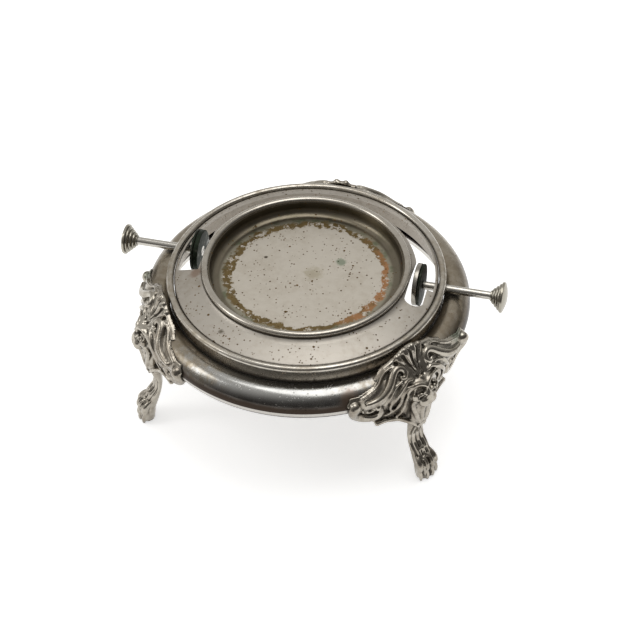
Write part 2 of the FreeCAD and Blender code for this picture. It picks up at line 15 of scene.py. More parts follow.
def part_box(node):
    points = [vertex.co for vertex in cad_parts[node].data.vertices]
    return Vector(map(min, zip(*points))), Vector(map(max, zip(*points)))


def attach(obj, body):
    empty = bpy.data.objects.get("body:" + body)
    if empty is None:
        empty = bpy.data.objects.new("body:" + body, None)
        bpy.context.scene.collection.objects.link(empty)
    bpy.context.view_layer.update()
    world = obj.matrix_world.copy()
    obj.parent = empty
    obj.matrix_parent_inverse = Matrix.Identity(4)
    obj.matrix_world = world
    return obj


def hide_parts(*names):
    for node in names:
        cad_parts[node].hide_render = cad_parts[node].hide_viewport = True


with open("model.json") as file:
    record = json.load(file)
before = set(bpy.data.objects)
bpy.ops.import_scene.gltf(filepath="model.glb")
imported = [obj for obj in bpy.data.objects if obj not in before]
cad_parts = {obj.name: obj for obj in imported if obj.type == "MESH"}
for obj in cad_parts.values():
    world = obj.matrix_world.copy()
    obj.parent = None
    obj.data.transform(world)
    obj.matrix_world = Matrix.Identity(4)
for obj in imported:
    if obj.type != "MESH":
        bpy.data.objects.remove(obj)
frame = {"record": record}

MM = 0.001
MERGE = 1e-6
LOG = logging.getLogger("dish_stand")

Point = tuple[float, float]
Place = tuple[float, float, float]
Colour = tuple[float, float, float]
Piece = bpy.types.Object
Socket = bpy.types.NodeSocket


class Grain(Enum):
    """How the tool marks run on a surface."""

    TURNED = "turned"
    SATIN = "satin"
    CAST = "cast"


class Side(Enum):
    """The two pins, by the way that they point along X."""

    LEFT = -1
    RIGHT = 1


# Sizes from the frame


def low(node: str) -> Vector:
    """The low corner of a node of the frame, in millimetres."""
    return Vector(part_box(node)[0]) / MM


def high(node: str) -> Vector:
    """The high corner of a node of the frame, in millimetres."""
    return Vector(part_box(node)[1]) / MM


def size(node: str) -> Vector:
    """How long, wide and tall a node of the frame is, in millimetres."""
    return high(node) - low(node)


def middle(node: str) -> Vector:
    """The middle of a node of the frame, in millimetres."""
    return (low(node) + high(node)) / 2


# Mesh work


def pick(obj: Piece) -> None:
    """Make a piece the only selected one and the active one.

    Args:
        obj: The piece.
    """
    bpy.ops.object.select_all(action="DESELECT")
    obj.select_set(True)
    bpy.context.view_layer.objects.active = obj


def primitive(add: Callable[..., object], **settings: object) -> Piece:
    """Add a primitive with nothing else selected.

    Args:
        add: The operator that adds it.
        settings: The operator's settings by name.

    Returns:
        The primitive.
    """
    bpy.ops.object.select_all(action="DESELECT")
    add(**settings)
    return bpy.context.active_object


def apply_modifier(obj: Piece, kind: str, **settings: object) -> None:
    """Add a modifier to a piece and apply it.

    Args:
        obj: The piece.
        kind: The modifier's type.
        settings: Its settings by name.
    """
    pick(obj)
    modifier = obj.modifiers.new(kind.lower(), kind)
    for name, value in settings.items():
        setattr(modifier, name, value)
    bpy.ops.object.modifier_apply(modifier=modifier.name)


def join(parts: Sequence[Piece]) -> Piece:
    """Join several pieces into the first.

    Args:
        parts: The pieces.

    Returns:
        The joined piece.
    """
    pick(parts[0])
    for part in parts[1:]:
        part.select_set(True)
    bpy.ops.object.join()
    return parts[0]


def carve(obj: Piece, tool: Piece) -> None:
    """Cut one piece out of another and throw the tool away."""
    apply_modifier(obj, "BOOLEAN", operation="DIFFERENCE", solver="EXACT", object=tool)
    bpy.data.objects.remove(tool, do_unlink=True)


def settle(obj: Piece) -> None:
    """Bring a piece's place, turn and scale into its mesh."""
    pick(obj)
    bpy.ops.object.transform_apply(location=True, rotation=True, scale=True)


def edit_all() -> None:
    """Enter edit mode with the whole mesh selected."""
    bpy.ops.object.mode_set(mode="EDIT")
    bpy.ops.mesh.select_all(action="SELECT")


def select_rims() -> None:
    """Select the edited mesh's open rims."""
    bpy.ops.mesh.select_all(action="DESELECT")
    bpy.ops.mesh.select_non_manifold()


def close_up() -> None:
    """Turn the edited mesh's faces outwards and leave edit mode."""
    bpy.ops.mesh.select_all(action="SELECT")
    bpy.ops.mesh.normals_make_consistent(inside=False)
    bpy.ops.object.mode_set(mode="OBJECT")


def arc(centre: Point, radius: float, start: float, end: float, steps: int = 10) -> list[Point]:
    """Points of an outline along an arc, between two angles in degrees from the outward way."""
    angles = [math.radians(start + (end - start) * index / steps) for index in range(steps + 1)]
    return [(centre[0] + radius * math.cos(a), centre[1] + radius * math.sin(a)) for a in angles]


def bow(first: Point, last: Point, radius: float, steps: int = 8) -> list[Point]:
    """Points along the short arc that bulges to the right of the way from one point to another.

    Args:
        first: The arc's start, as radius and height.
        last: Its end.
        radius: Its radius, which is negative where it bulges to the left.
        steps: The number of spans.

    Returns:
        The points.
    """
    start, end = Vector(first), Vector(last)
    run = end - start
    rise = math.sqrt(radius**2 - (run.length / 2) ** 2)
    right = Vector((run.y, -run.x)).normalized()
    centre = (start + end) / 2 - right * math.copysign(rise, radius)
    begin, finish = (math.atan2(spoke.y, spoke.x) for spoke in (start - centre, end - centre))
    sweep = (finish - begin + math.pi) % (2 * math.pi) - math.pi
    return arc(tuple(centre), abs(radius), math.degrees(begin), math.degrees(begin + sweep), steps)


def turn(outline: Sequence[Point], segments: int = 288) -> Piece:
    """Turn a closed outline round the upright axis.

    The outline's first point lies off the axis. It may end on the axis, and then the first loop
    is closed with a flat fan.

    Args:
        outline: Points of radius and height in millimetres.
        segments: Spans round the axis.

    Returns:
        The turned piece.
    """
    on_axis = outline[-1][0] == 0
    radius, height = outline[0]
    obj = primitive(
        bpy.ops.mesh.primitive_circle_add,
        vertices=segments,
        radius=radius * MM,
        fill_type="TRIFAN" if on_axis else "NOTHING",
        location=(0, 0, height * MM),
    )
    settle(obj)
    bpy.ops.object.mode_set(mode="EDIT")
    bpy.ops.mesh.select_mode(type="EDGE")
    select_rims()
    for (old_radius, old_height), (radius, height) in zip(outline, outline[1:]):
        rise = (0, 0, (height - old_height) * MM)
        bpy.ops.mesh.extrude_edges_move(TRANSFORM_OT_translate={"value": rise})
        growth = radius / old_radius
        bpy.ops.transform.resize(value=(growth, growth, 1), center_override=(0, 0, height * MM))
    if not on_axis:
        select_rims()
        bpy.ops.mesh.bridge_edge_loops()
    bpy.ops.mesh.select_all(action="SELECT")
    bpy.ops.mesh.remove_doubles(threshold=MERGE)
    close_up()
    return obj


def flat_block(points: Sequence[Point], bottom: float, top: float) -> Piece:
    """An upright block over a flat outline.

    Args:
        points: The outline's corners in millimetres.
        bottom: The block's lower height.
        top: Its upper height.

    Returns:
        The block.
    """
    add = bpy.ops.mesh.primitive_circle_add
    obj = primitive(add, vertices=len(points), radius=MM, fill_type="NGON")
    set_vertices(obj, np.array([(*point, bottom) for point in points], dtype=float))
    edit_all()
    bpy.ops.mesh.extrude_region_move(TRANSFORM_OT_translate={"value": (0, 0, (top - bottom) * MM)})
    close_up()
    return obj


def tube(points: Sequence[Place], radii: Sequence[float]) -> Piece:
    """A smooth round tube with ball ends, whose thickness changes along its way.

    Args:
        points: The tube's way, in millimetres.
        radii: Its radius at each point, in millimetres.

    Returns:
        The tube as a mesh.
    """
    curve = bpy.data.curves.new("tube", "CURVE")
    curve.dimensions = "3D"
    curve.bevel_depth = 1.0
    curve.bevel_resolution = 3
    curve.use_fill_caps = True
    curve.resolution_u = 6
    line = curve.splines.new("NURBS")
    line.points.add(len(points) - 1)
    for spot, point, radius in zip(line.points, points, radii):
        spot.co = (*[value * MM for value in point], 1)
        spot.radius = radius * MM
    line.order_u = 4
    line.use_endpoint_u = True
    obj = bpy.data.objects.new("tube", curve)
    bpy.context.scene.collection.objects.link(obj)
    pick(obj)
    bpy.ops.object.convert(target="MESH")
    ends = [egg(points[index], (radii[index],) * 3) for index in (0, -1)]
    return join([obj, *ends])


def egg(centre: Place, radii: Place) -> Piece:
    """An egg-shaped lump.

    Args:
        centre: Its middle, in millimetres.
        radii: Its half sizes, in millimetres.

    Returns:
        The lump.
    """
    obj = primitive(bpy.ops.mesh.primitive_uv_sphere_add, segments=24, ring_count=14, radius=1)
    obj.scale = [radius * MM for radius in radii]
    obj.location = [value * MM for value in centre]
    settle(obj)
    return obj


def rows_of(points: bpy.types.bpy_prop_collection, value: str) -> np.ndarray:
    """Rows of three numbers, one for each point of a mesh.

    Args:
        points: The mesh's points or their normals.
        value: The name of the value that is read.

    Returns:
        The rows.
    """
    flat = np.empty(len(points) * 3)
    points.foreach_get(value, flat)
    return flat.reshape(-1, 3)


def vertices_of(obj: Piece) -> np.ndarray:
    """A piece's vertices, as rows of x, y and z in millimetres."""
    return rows_of(obj.data.vertices, "co") / MM


def normals_of(obj: Piece) -> np.ndarray:
    """The normals at a piece's vertices, as rows of x, y and z."""
    return rows_of(obj.data.vertex_normals, "vector")


def set_vertices(obj: Piece, spots: np.ndarray) -> None:
    """Move a piece's vertices to rows of x, y and z in millimetres."""
    obj.data.vertices.foreach_set("co", (spots * MM).ravel())
    obj.data.update()


def nearest(spots: np.ndarray, line: np.ndarray) -> tuple[np.ndarray, np.ndarray]:
    """The nearest points of a line through corners.

    Args:
        spots: Rows of two or three values.
        line: Rows of corners.

    Returns:
        The nearest point to each spot, and how far away it is.
    """
    near, best = spots.copy(), np.full(len(spots), np.inf)
    for start, end in zip(line, line[1:]):
        run = end - start
        share = np.clip((spots - start) @ run / (run @ run), 0, 1)
        point = start + share[:, None] * run
        away = np.linalg.norm(spots - point, axis=1)
        near[away < best] = point[away < best]
        best = np.minimum(best, away)
    return near, best


def lie_within(spots: np.ndarray, loop: np.ndarray) -> np.ndarray:
    """Which spots lie inside a closed loop without level edges.

    Args:
        spots: Rows of two values.
        loop: Rows of corners, the first one again at the end.

    Returns:
        True for each spot inside.
    """
    inside = np.zeros(len(spots), dtype=bool)
    for start, end in zip(loop, loop[1:]):
        straddles = (spots[:, 1] < start[1]) != (spots[:, 1] < end[1])
        cross = start[0] + (spots[:, 1] - start[1]) * (end[0] - start[0]) / (end[1] - start[1])
        inside ^= straddles & (spots[:, 0] < cross)
    return inside


def store_hollows(obj: Piece, rounds: int = 8) -> None:
    """Keep how hollow each point of a piece is, as an attribute that its finish reads.

    Args:
        obj: The piece.
        rounds: How far the surroundings reach, in smoothing rounds.
    """
    spots = vertices_of(obj)
    edges = np.empty(len(obj.data.edges) * 2, dtype=np.int64)
    obj.data.edges.foreach_get("vertices", edges)
    pairs = edges.reshape(-1, 2)
    count = np.bincount(pairs.ravel(), minlength=len(spots))[:, None]
    smooth = spots.copy()
    for _ in range(rounds):
        total = np.zeros_like(smooth)
        np.add.at(total, pairs[:, 0], smooth[pairs[:, 1]])
        np.add.at(total, pairs[:, 1], smooth[pairs[:, 0]])
        smooth = total / np.maximum(count, 1)
    depth = np.einsum("ij,ij->i", smooth - spots, normals_of(obj))
    layer = obj.data.attributes.new("hollow", "FLOAT", "POINT")
    layer.data.foreach_set("value", depth)


def finish_piece(
    obj: Piece, name: str, body: str, node: str, finish: "Finish", angle: float = 32
) -> None:
    """Name, shade, dress and hang a finished piece.

    Args:
        obj: The piece.
        name: Its name in the scene.
        body: The body that it rides on.
        node: The node that it stands for.
        finish: Its finish.
        angle: The sharpest angle in degrees that is still shaded smooth.
    """
    pick(obj)
    bpy.ops.object.shade_smooth_by_angle(angle=math.radians(angle))
    obj.name = name
    obj.data.name = name
    obj.data.materials.clear()
    obj.data.materials.append(finish.material())
    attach(obj, body)
    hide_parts(node)
    LOG.info("%s: %d faces", name, len(obj.data.polygons))


# Finishes


class Graph:
    """The nodes of a material or of the world, with short ways to add and join them."""

    def __init__(self, owner: bpy.types.ID) -> None:
        """Start with no nodes.

        Args:
            owner: The material or the world.
        """
        owner.use_nodes = True
        self.tree = owner.node_tree
        self.tree.nodes.clear()

    def add(
        self, kind: str, sockets: dict[str | int, object] | None = None, **settings: object
    ) -> bpy.types.Node:
        """Add a node.

        Args:
            kind: The node's type, without its leading words.
            sockets: Values or sockets for its inputs, by name or place.
            settings: Its settings by name.

        Returns:
            The node.
        """
        node = self.tree.nodes.new("ShaderNode" + kind)
        for name, value in settings.items():
            setattr(node, name, value)
        for name, value in (sockets or {}).items():
            if isinstance(value, Socket):
                self.tree.links.new(value, node.inputs[name])
            else:
                node.inputs[name].default_value = value
        return node

    def number(self, kind: str, *values: object) -> Socket:
        """A number that a Math node of some kind works out from two or three others."""
        return self.add("Math", dict(enumerate(values)), operation=kind).outputs[0]

    def times(self, first: object, second: object, plus: object = 0.0) -> Socket:
        """One number times another, plus a third."""
        return self.number("MULTIPLY_ADD", first, second, plus)

    def ease(self, value: object, start: float, end: float, to: Point = (0, 1)) -> Socket:
        """Spread a range of a number over another range, with soft ends."""
        sockets = {"Value": value, "From Min": start, "From Max": end, "To Min": to[0], "To Max": to[1]}
        return self.add("MapRange", sockets, interpolation_type="SMOOTHSTEP").outputs[0]

    def noise(self, scale: float, detail: float = 3, rough: float = 0.5, where: object = None) -> Socket:
        """Soft noise of about 0.5 in waves to a metre, on the piece's own or other coordinates."""
        sockets = {"Vector": where or self.own, "Scale": scale, "Detail": detail, "Roughness": rough}
        return self.add("TexNoise", sockets).outputs["Fac"]

    def mix(self, share: object, first: object, second: object) -> Socket:
        """Mix two colours.

        Args:
            share: How much of the second.
            first: The first colour or socket.
            second: The second.

        Returns:
            The colour.
        """
        colours = [(*c, 1) if isinstance(c, tuple) else c for c in (first, second)]
        node = self.add("Mix", {0: share, 6: colours[0], 7: colours[1]}, data_type="RGBA")
        return node.outputs[2]

    def bump(self, strength: float, depth: float, height: Socket, under: Socket | None = None) -> Socket:
        """Bend the normal by a height.

        Args:
            strength: How strong the bump is.
            depth: How deep it is where the height is 1, in millimetres.
            height: The height.
            under: The bent normal that it is laid over, if any.

        Returns:
            The new normal.
        """
        sockets: dict[str | int, object] = {"Strength": strength, "Distance": depth * MM, "Height": height}
        if under:
            sockets["Normal"] = under
        return self.add("Bump", sockets).outputs[0]

    @property
    def own(self) -> Socket:
        """The piece's own coordinates, in metres."""
        return self.add("TexCoord").outputs["Object"]

    @property
    def own_parts(self) -> Sequence[Socket]:
        """The piece's own x, y and z."""
        return self.add("SeparateXYZ", {0: self.own}).outputs

    @property
    def radius(self) -> Socket:
        """How far each point is from the stand's upright axis, in metres."""
        flat = self.add("VectorMath", {0: self.own, 1: (1, 1, 0)}, operation="MULTIPLY").outputs[0]
        return self.add("VectorMath", {0: flat}, operation="LENGTH").outputs["Value"]


@dataclass(frozen=True)
class Spot:
    """Stains, and the belly's patch of polish and painted highlight. Place and reach are in millimetres."""

    place: Place
    reach: float
    colour: Colour
    strength: float = 1.0
    dulling: float = 0.3

    def share(self, graph: Graph) -> Socket:
        """How strong the patch is at each point.

        Args:
            graph: The material's nodes.

        Returns:
            The share.
        """
        place, reach = tuple(value * MM for value in self.place), self.reach * MM
        away = graph.add("VectorMath", {0: graph.own, 1: place}, operation="DISTANCE").outputs["Value"]
        ragged = graph.times(graph.noise(230, 5, 0.7), reach * 1.6, away)
        return graph.times(graph.ease(ragged, reach * 1.9, reach * 1.2), self.strength)


@dataclass(frozen=True)
class WornRing:
    """A ragged ring where the plate is worn through to the brass, with dark metal outside it.

    Its radii and how ragged it is are in millimetres.
    """

    inner: float
    outer: float
    ragged: float = 12.0
    brass: Colour = (0.21, 0.15, 0.065)
    dark_brass: Colour = (0.09, 0.065, 0.03)
    copper: Colour = (0.33, 0.17, 0.08)
    beyond: Colour = (0.28, 0.26, 0.20)
    green: Colour = (0.16, 0.17, 0.11)
    wall: Colour = (0.13, 0.11, 0.08)

    def lay(self, graph: Graph, colour: Socket, rough: Socket) -> tuple[Socket, Socket]:
        """Wear the ring into the plate.

        Args:
            graph: The material's nodes.
            colour: The colour so far.
            rough: The roughness so far.

        Returns:
            The new colour and roughness.
        """
        inner, outer, sway, radius = self.inner * MM, self.outer * MM, self.ragged * MM, graph.radius
        ragged = graph.number("SUBTRACT", graph.times(graph.noise(110, 7, 0.75), sway, radius), sway / 2)
        worn = graph.ease(ragged, inner, inner + 0.7 * MM)
        broken = graph.ease(graph.noise(240, 5, 0.7), 0.41, 0.46)
        metal = graph.mix(graph.noise(300, 3), self.brass, self.dark_brass)
        patchy = graph.times(graph.noise(90, 4), 60 * MM, graph.own_parts[0])
        metal = graph.mix(graph.ease(patchy, 50 * MM, 72 * MM), metal, self.copper)
        colour = graph.mix(graph.times(worn, broken), colour, metal)
        outside = graph.ease(ragged, outer - 0.8 * MM, outer + 0.8 * MM)
        tarnish = graph.mix(graph.ease(graph.noise(150, 4), 0.5, 0.66), self.beyond, self.green)
        colour = graph.mix(outside, colour, tarnish)
        # Darker up the cove and the wall.
        up_wall = graph.ease(radius, outer + 1.2 * MM, outer + 3.0 * MM)
        colour = graph.mix(graph.times(up_wall, 0.85), colour, self.wall)
        return colour, graph.times(outside, -0.12, rough)


@dataclass(frozen=True)
class PaintedShadeAndHighlight:
    """Painted shade that darkens the metal downwards, with a painted highlight line below.

    The shade darkens from the high to the low height, and the highlight lies just under the edge.
    Heights are in millimetres.
    """

    high: float
    low: float
    edge: float
    colour: Colour
    highlight_width: float = 2.1
    highlight_blur: float = 0.3
    highlight_colour: Colour = (0.46, 0.44, 0.41)

    def lay(self, graph: Graph, colour: Socket) -> Socket:
        """Paint the shade downwards and the highlight line.

        Args:
            graph: The material's nodes.
            colour: The colour so far.

        Returns:
            The new colour.
        """
        height = graph.own_parts[2]
        uneven = graph.times(graph.noise(60, 3), 3 * MM, height)
        # Painted shade: the colour darkens towards the bottom.
        colour = graph.mix(graph.ease(uneven, self.high * MM, self.low * MM), colour, self.colour)
        # Painted highlight: a bright line just under the edge.
        foot = self.edge - self.highlight_width
        upper = graph.ease(height, (self.edge + self.highlight_blur) * MM, self.edge * MM)
        lower = graph.ease(height, (foot - self.highlight_blur) * MM, foot * MM)
        return graph.mix(graph.times(upper, lower), colour, self.highlight_colour)


@dataclass(frozen=True)
class Finish:
    """Silver plate, as it wears: colour, tarnish, tool marks, pits and stains, and painted light.

    The reach of the grime and painted shade is in millimetres. Lines, pits and hollows give the
    strength of the scratches, of the pits and of the grime and painted shade in hollows.
    """

    name: str
    grain: Grain
    metal: Colour = (0.60, 0.575, 0.53)
    tarnish: Colour = (0.22, 0.18, 0.12)
    tarnish_share: float = 0.35
    # Grime and painted shade in corners and hollows: strength, reach and colour.
    grime_and_shade: float = 0.9
    grime_and_shade_reach: float = 2.2
    grime_and_shade_colour: Colour = (0.035, 0.028, 0.018)
    gloss: float = 0.24
    gloss_spread: float = 0.16
    lines: float = 0.5
    pits: float = 0.0
    pit_colour: Colour = (0.05, 0.035, 0.02)
    rust_colour: Colour = (0.26, 0.16, 0.06)
    hollows: float = 0.0
    spots: tuple[Spot, ...] = ()
    ring: WornRing | None = None
    # Painted shade that darkens downwards, with a painted highlight line.
    painted_shade_and_highlight: PaintedShadeAndHighlight | None = None

    def material(self) -> bpy.types.Material:
        """The finish as a material, made once.

        Returns:
            The material.
        """
        material = bpy.data.materials.get(self.name)
        if not material:
            material = bpy.data.materials.new(self.name)
            self.build(Graph(material))
        return material

    def build(self, graph: Graph) -> None:
        """Lay the finish's layers over each other.

        Args:
            graph: The material's nodes.
        """
        dull = self.dullness(graph)
        colour = graph.mix(dull, self.metal, self.tarnish)
        rough = graph.ease(dull, 0, 1, (self.gloss, self.gloss + self.gloss_spread * 2))
        if self.ring:
            colour, rough = self.ring.lay(graph, colour, rough)
        if self.pits:
            share = self.pit_share(graph)
            brown = graph.mix(graph.noise(700, 2), self.pit_colour, self.rust_colour)
            colour, rough = graph.mix(share, colour, brown), graph.times(share, 0.4, rough)
        # Stains, and the belly's patch of polish and painted highlight.
        for spot in self.spots:
            share = spot.share(graph)
            colour, rough = graph.mix(share, colour, spot.colour), graph.times(share, spot.dulling, rough)
        # Painted shade towards the bottom, with a painted highlight line.
        if self.painted_shade_and_highlight:
            colour = self.painted_shade_and_highlight.lay(graph, colour)
        # Grime and painted shade darken the colour, dull the metal and roughen it.
        grime_and_painted_shade = self.grime_and_painted_shade(graph)
        sockets = {
            "Base Color": graph.mix(grime_and_painted_shade, colour, self.grime_and_shade_colour),
            "Metallic": graph.ease(grime_and_painted_shade, 0, 1, (1, 0.55)),
            "Roughness": graph.times(grime_and_painted_shade, 0.35, rough),
            "Normal": self.relief(graph),
        }
        shader = graph.add("BsdfPrincipled", sockets)
        graph.add("OutputMaterial", {"Surface": shader.outputs[0]})

    def dullness(self, graph: Graph) -> Socket:
        """Where the metal has gone dull, from 0 to 1.

        Args:
            graph: The material's nodes.

        Returns:
            The share.
        """
        broad, fine = graph.noise(28, 5, 0.6), graph.noise(260, 4, 0.65)
        both = graph.times(fine, 0.45, graph.times(broad, 0.55))
        centre = 0.62 - 0.28 * self.tarnish_share
        return graph.times(graph.ease(both, centre - 0.1, centre + 0.16), self.tarnish_share * 1.4)

    def grime_and_painted_shade(self, graph: Graph) -> Socket:
        """Where grime and painted shade darken corners and hollows.

        Args:
            graph: The material's nodes.

        Returns:
            The share.
        """
        reach = {"Distance": self.grime_and_shade_reach * MM}
        # Painted shade and grime: darker where ambient occlusion is low, in corners and gaps between parts.
        shade = graph.add("AmbientOcclusion", reach, samples=6).outputs["AO"]
        ragged = graph.times(graph.noise(420, 3), 0.3, shade)
        share = graph.times(graph.ease(ragged, 1.0, 0.45), self.grime_and_shade)
        if self.hollows:
            depth = graph.add("Attribute", attribute_name="hollow").outputs["Fac"]
            deep = graph.times(graph.ease(depth, 0.015, 0.24), self.hollows)
            share = graph.number("MAXIMUM", share, deep)
        return share

    def pit_share(self, graph: Graph) -> Socket:
        """Where the small dark pits are, in loose groups.

        Args:
            graph: The material's nodes.

        Returns:
            The share.
        """
        share: object = 0.0
        for scale, reach, crowd in ((700.0, 0.22, 0.5), (280.0, 0.16, 0.28)):
            cells = graph.add("TexVoronoi", {"Vector": graph.own, "Scale": scale}).outputs
            chance = graph.add("SeparateXYZ", {0: cells["Color"]}).outputs
            crowded = graph.ease(graph.noise(60, 3), 0.34, 0.7, (crowd * 0.25, crowd))
            there = graph.number("LESS_THAN", chance[0], crowded)
            edge = graph.times(chance[1], reach, reach * 0.5)
            pit = graph.ease(graph.number("SUBTRACT", cells["Distance"], edge), 0.05, -0.04)
            share = graph.number("MAXIMUM", share, graph.times(pit, there))
        return graph.times(share, self.pits)

    def relief(self, graph: Graph) -> Socket:
        """The fine relief: slow waves, tool marks, scratches and pits.

        Args:
            graph: The material's nodes.

        Returns:
            The bent normal.
        """
        normal = graph.bump(0.25, 0.25, graph.noise(70, 2))
        normal = graph.bump(self.lines, 0.02, self.marks(graph), normal)
        if self.pits:
            normal = graph.bump(0.8, 0.1, graph.times(self.pit_share(graph), -1.0), normal)
        return normal

    def marks(self, graph: Graph) -> Socket:
        """The height of the tool marks and scratches.

        Args:
            graph: The material's nodes.

        Returns:
            The height.
        """
        fine = graph.noise(2600, 3)
        if self.grain is Grain.CAST:
            return graph.times(graph.noise(900, 4), 2.0, fine)
        if self.grain is Grain.TURNED:
            rings = graph.add("CombineXYZ", {0: graph.radius, 1: graph.own_parts[2]}).outputs[0]
            return graph.number("ADD", graph.noise(2200, 4, where=rings), graph.times(fine, 0.3))
        return graph.times(self.scratches(graph), 1.2, graph.times(fine, 0.6))

    def scratches(self, graph: Graph) -> Socket:
        """Fine scratches that cross each other.

        Args:
            graph: The material's nodes.

        Returns:
            The height.
        """
        height: object = 0.0
        for degrees in (12, 68, 131):
            sockets = {0: graph.own, "Rotation": (0, 0, math.radians(degrees)), "Scale": (0.03, 1, 1)}
            place = graph.add("Mapping", sockets).outputs[0]
            line = graph.ease(graph.noise(1900, 2, where=place), 0.6, 0.75)
            height = graph.number("SUBTRACT", height, line)
        return height


PLATE = Finish("collar_plate", Grain.TURNED, metal=(0.30, 0.27, 0.23), tarnish=(0.09, 0.07, 0.05), pits=0.5)
BEAD = Finish("bead_plate", Grain.TURNED, metal=(0.50, 0.47, 0.42), tarnish_share=0.5, gloss=0.2)
LEDGE = Finish(
    "ledge_plate_finish",
    Grain.SATIN,
    metal=(0.41, 0.38, 0.335),
    tarnish=(0.24, 0.20, 0.15),
    pits=0.9,
    tarnish_share=0.3,
    gloss=0.46,
    gloss_spread=0.06,
    spots=(
        Spot((-54, -16, 83), 4.0, (0.20, 0.12, 0.08), 0.6),
        Spot((-30, -54, 83), 2.2, (0.07, 0.055, 0.03), 0.8),
    ),
)
BELLY = Finish(
    "belly_plate",
    Grain.TURNED,
    metal=(0.32, 0.285, 0.23),
    tarnish=(0.16, 0.125, 0.08),
    tarnish_share=0.5,
    gloss=0.26,
    gloss_spread=0.07,
    pits=0.4,
    # Painted shade on the belly's lower part, with a painted highlight line low down.
    painted_shade_and_highlight=PaintedShadeAndHighlight(high=73.0, low=66.5, edge=62.5, colour=(0.035, 0.026, 0.02)),
    spots=(
        # Polish and painted highlight: a wide, brighter and glossier patch on the belly's front.
        Spot((8, -84, 70), 60.0, (0.40, 0.405, 0.40), 0.8, -0.1),
        Spot((40, -72, 66), 7.0, (0.24, 0.12, 0.05), 0.6),
    ),
)
FLOOR = Finish(
    "dish_floor",
    Grain.SATIN,
    metal=(0.54, 0.50, 0.435),
    tarnish=(0.36, 0.31, 0.24),
    pits=1.0,
    tarnish_share=0.3,
    gloss=0.42,
    gloss_spread=0.06,
    ring=WornRing(inner=38.2, outer=42.4),
    spots=(
        Spot((14.8, 13.8, 78), 3.4, (0.17, 0.22, 0.15), 0.7),
        Spot((3.0, 2.0, 78), 6.0, (0.33, 0.29, 0.20), 0.5),
        Spot((-24.0, 9.0, 78), 1.2, (0.06, 0.045, 0.03), 0.9),
    ),
)
FOOT = Finish("foot_plate", Grain.TURNED, metal=(0.72, 0.70, 0.66), tarnish_share=0.3, gloss=0.16, grime_and_shade=0.3)
RIM = Finish("rim_plate", Grain.TURNED, metal=(0.44, 0.41, 0.36), tarnish=(0.16, 0.12, 0.07), gloss=0.2)
PIN = Finish("pin_plate", Grain.TURNED, metal=(0.48, 0.46, 0.42), gloss=0.2)
KNOB = Finish("knob_plate", Grain.TURNED, metal=(0.34, 0.32, 0.27), gloss=0.22, grime_and_shade_reach=1.5)
DISC = Finish(
    "disc_plate", Grain.TURNED, metal=(0.15, 0.145, 0.12), tarnish=(0.02, 0.026, 0.018), tarnish_share=0.8
)
# A lighter copy of the disc finish: a painted highlight for the right pin's inner disc.
PAINTED_HIGHLIGHT_DISC = Finish(
    "painted_highlight_disc_plate", Grain.TURNED, metal=(0.36, 0.34, 0.30), tarnish=(0.06, 0.05, 0.035)
)
LEG = Finish(
    "cast_plate",
    Grain.CAST,
    metal=(0.43, 0.40, 0.345),
    tarnish=(0.13, 0.10, 0.07),
    tarnish_share=0.45,
    hollows=1.0,
    gloss=0.16,
    gloss_spread=0.12,
    grime_and_shade=0.6,
    spots=(
        Spot((80, -16, 70), 6.0, (0.10, 0.16, 0.11), 0.5),
        Spot((-84, -8, 68), 5.0, (0.10, 0.15, 0.10), 0.4),
    ),
)


# The turned stand


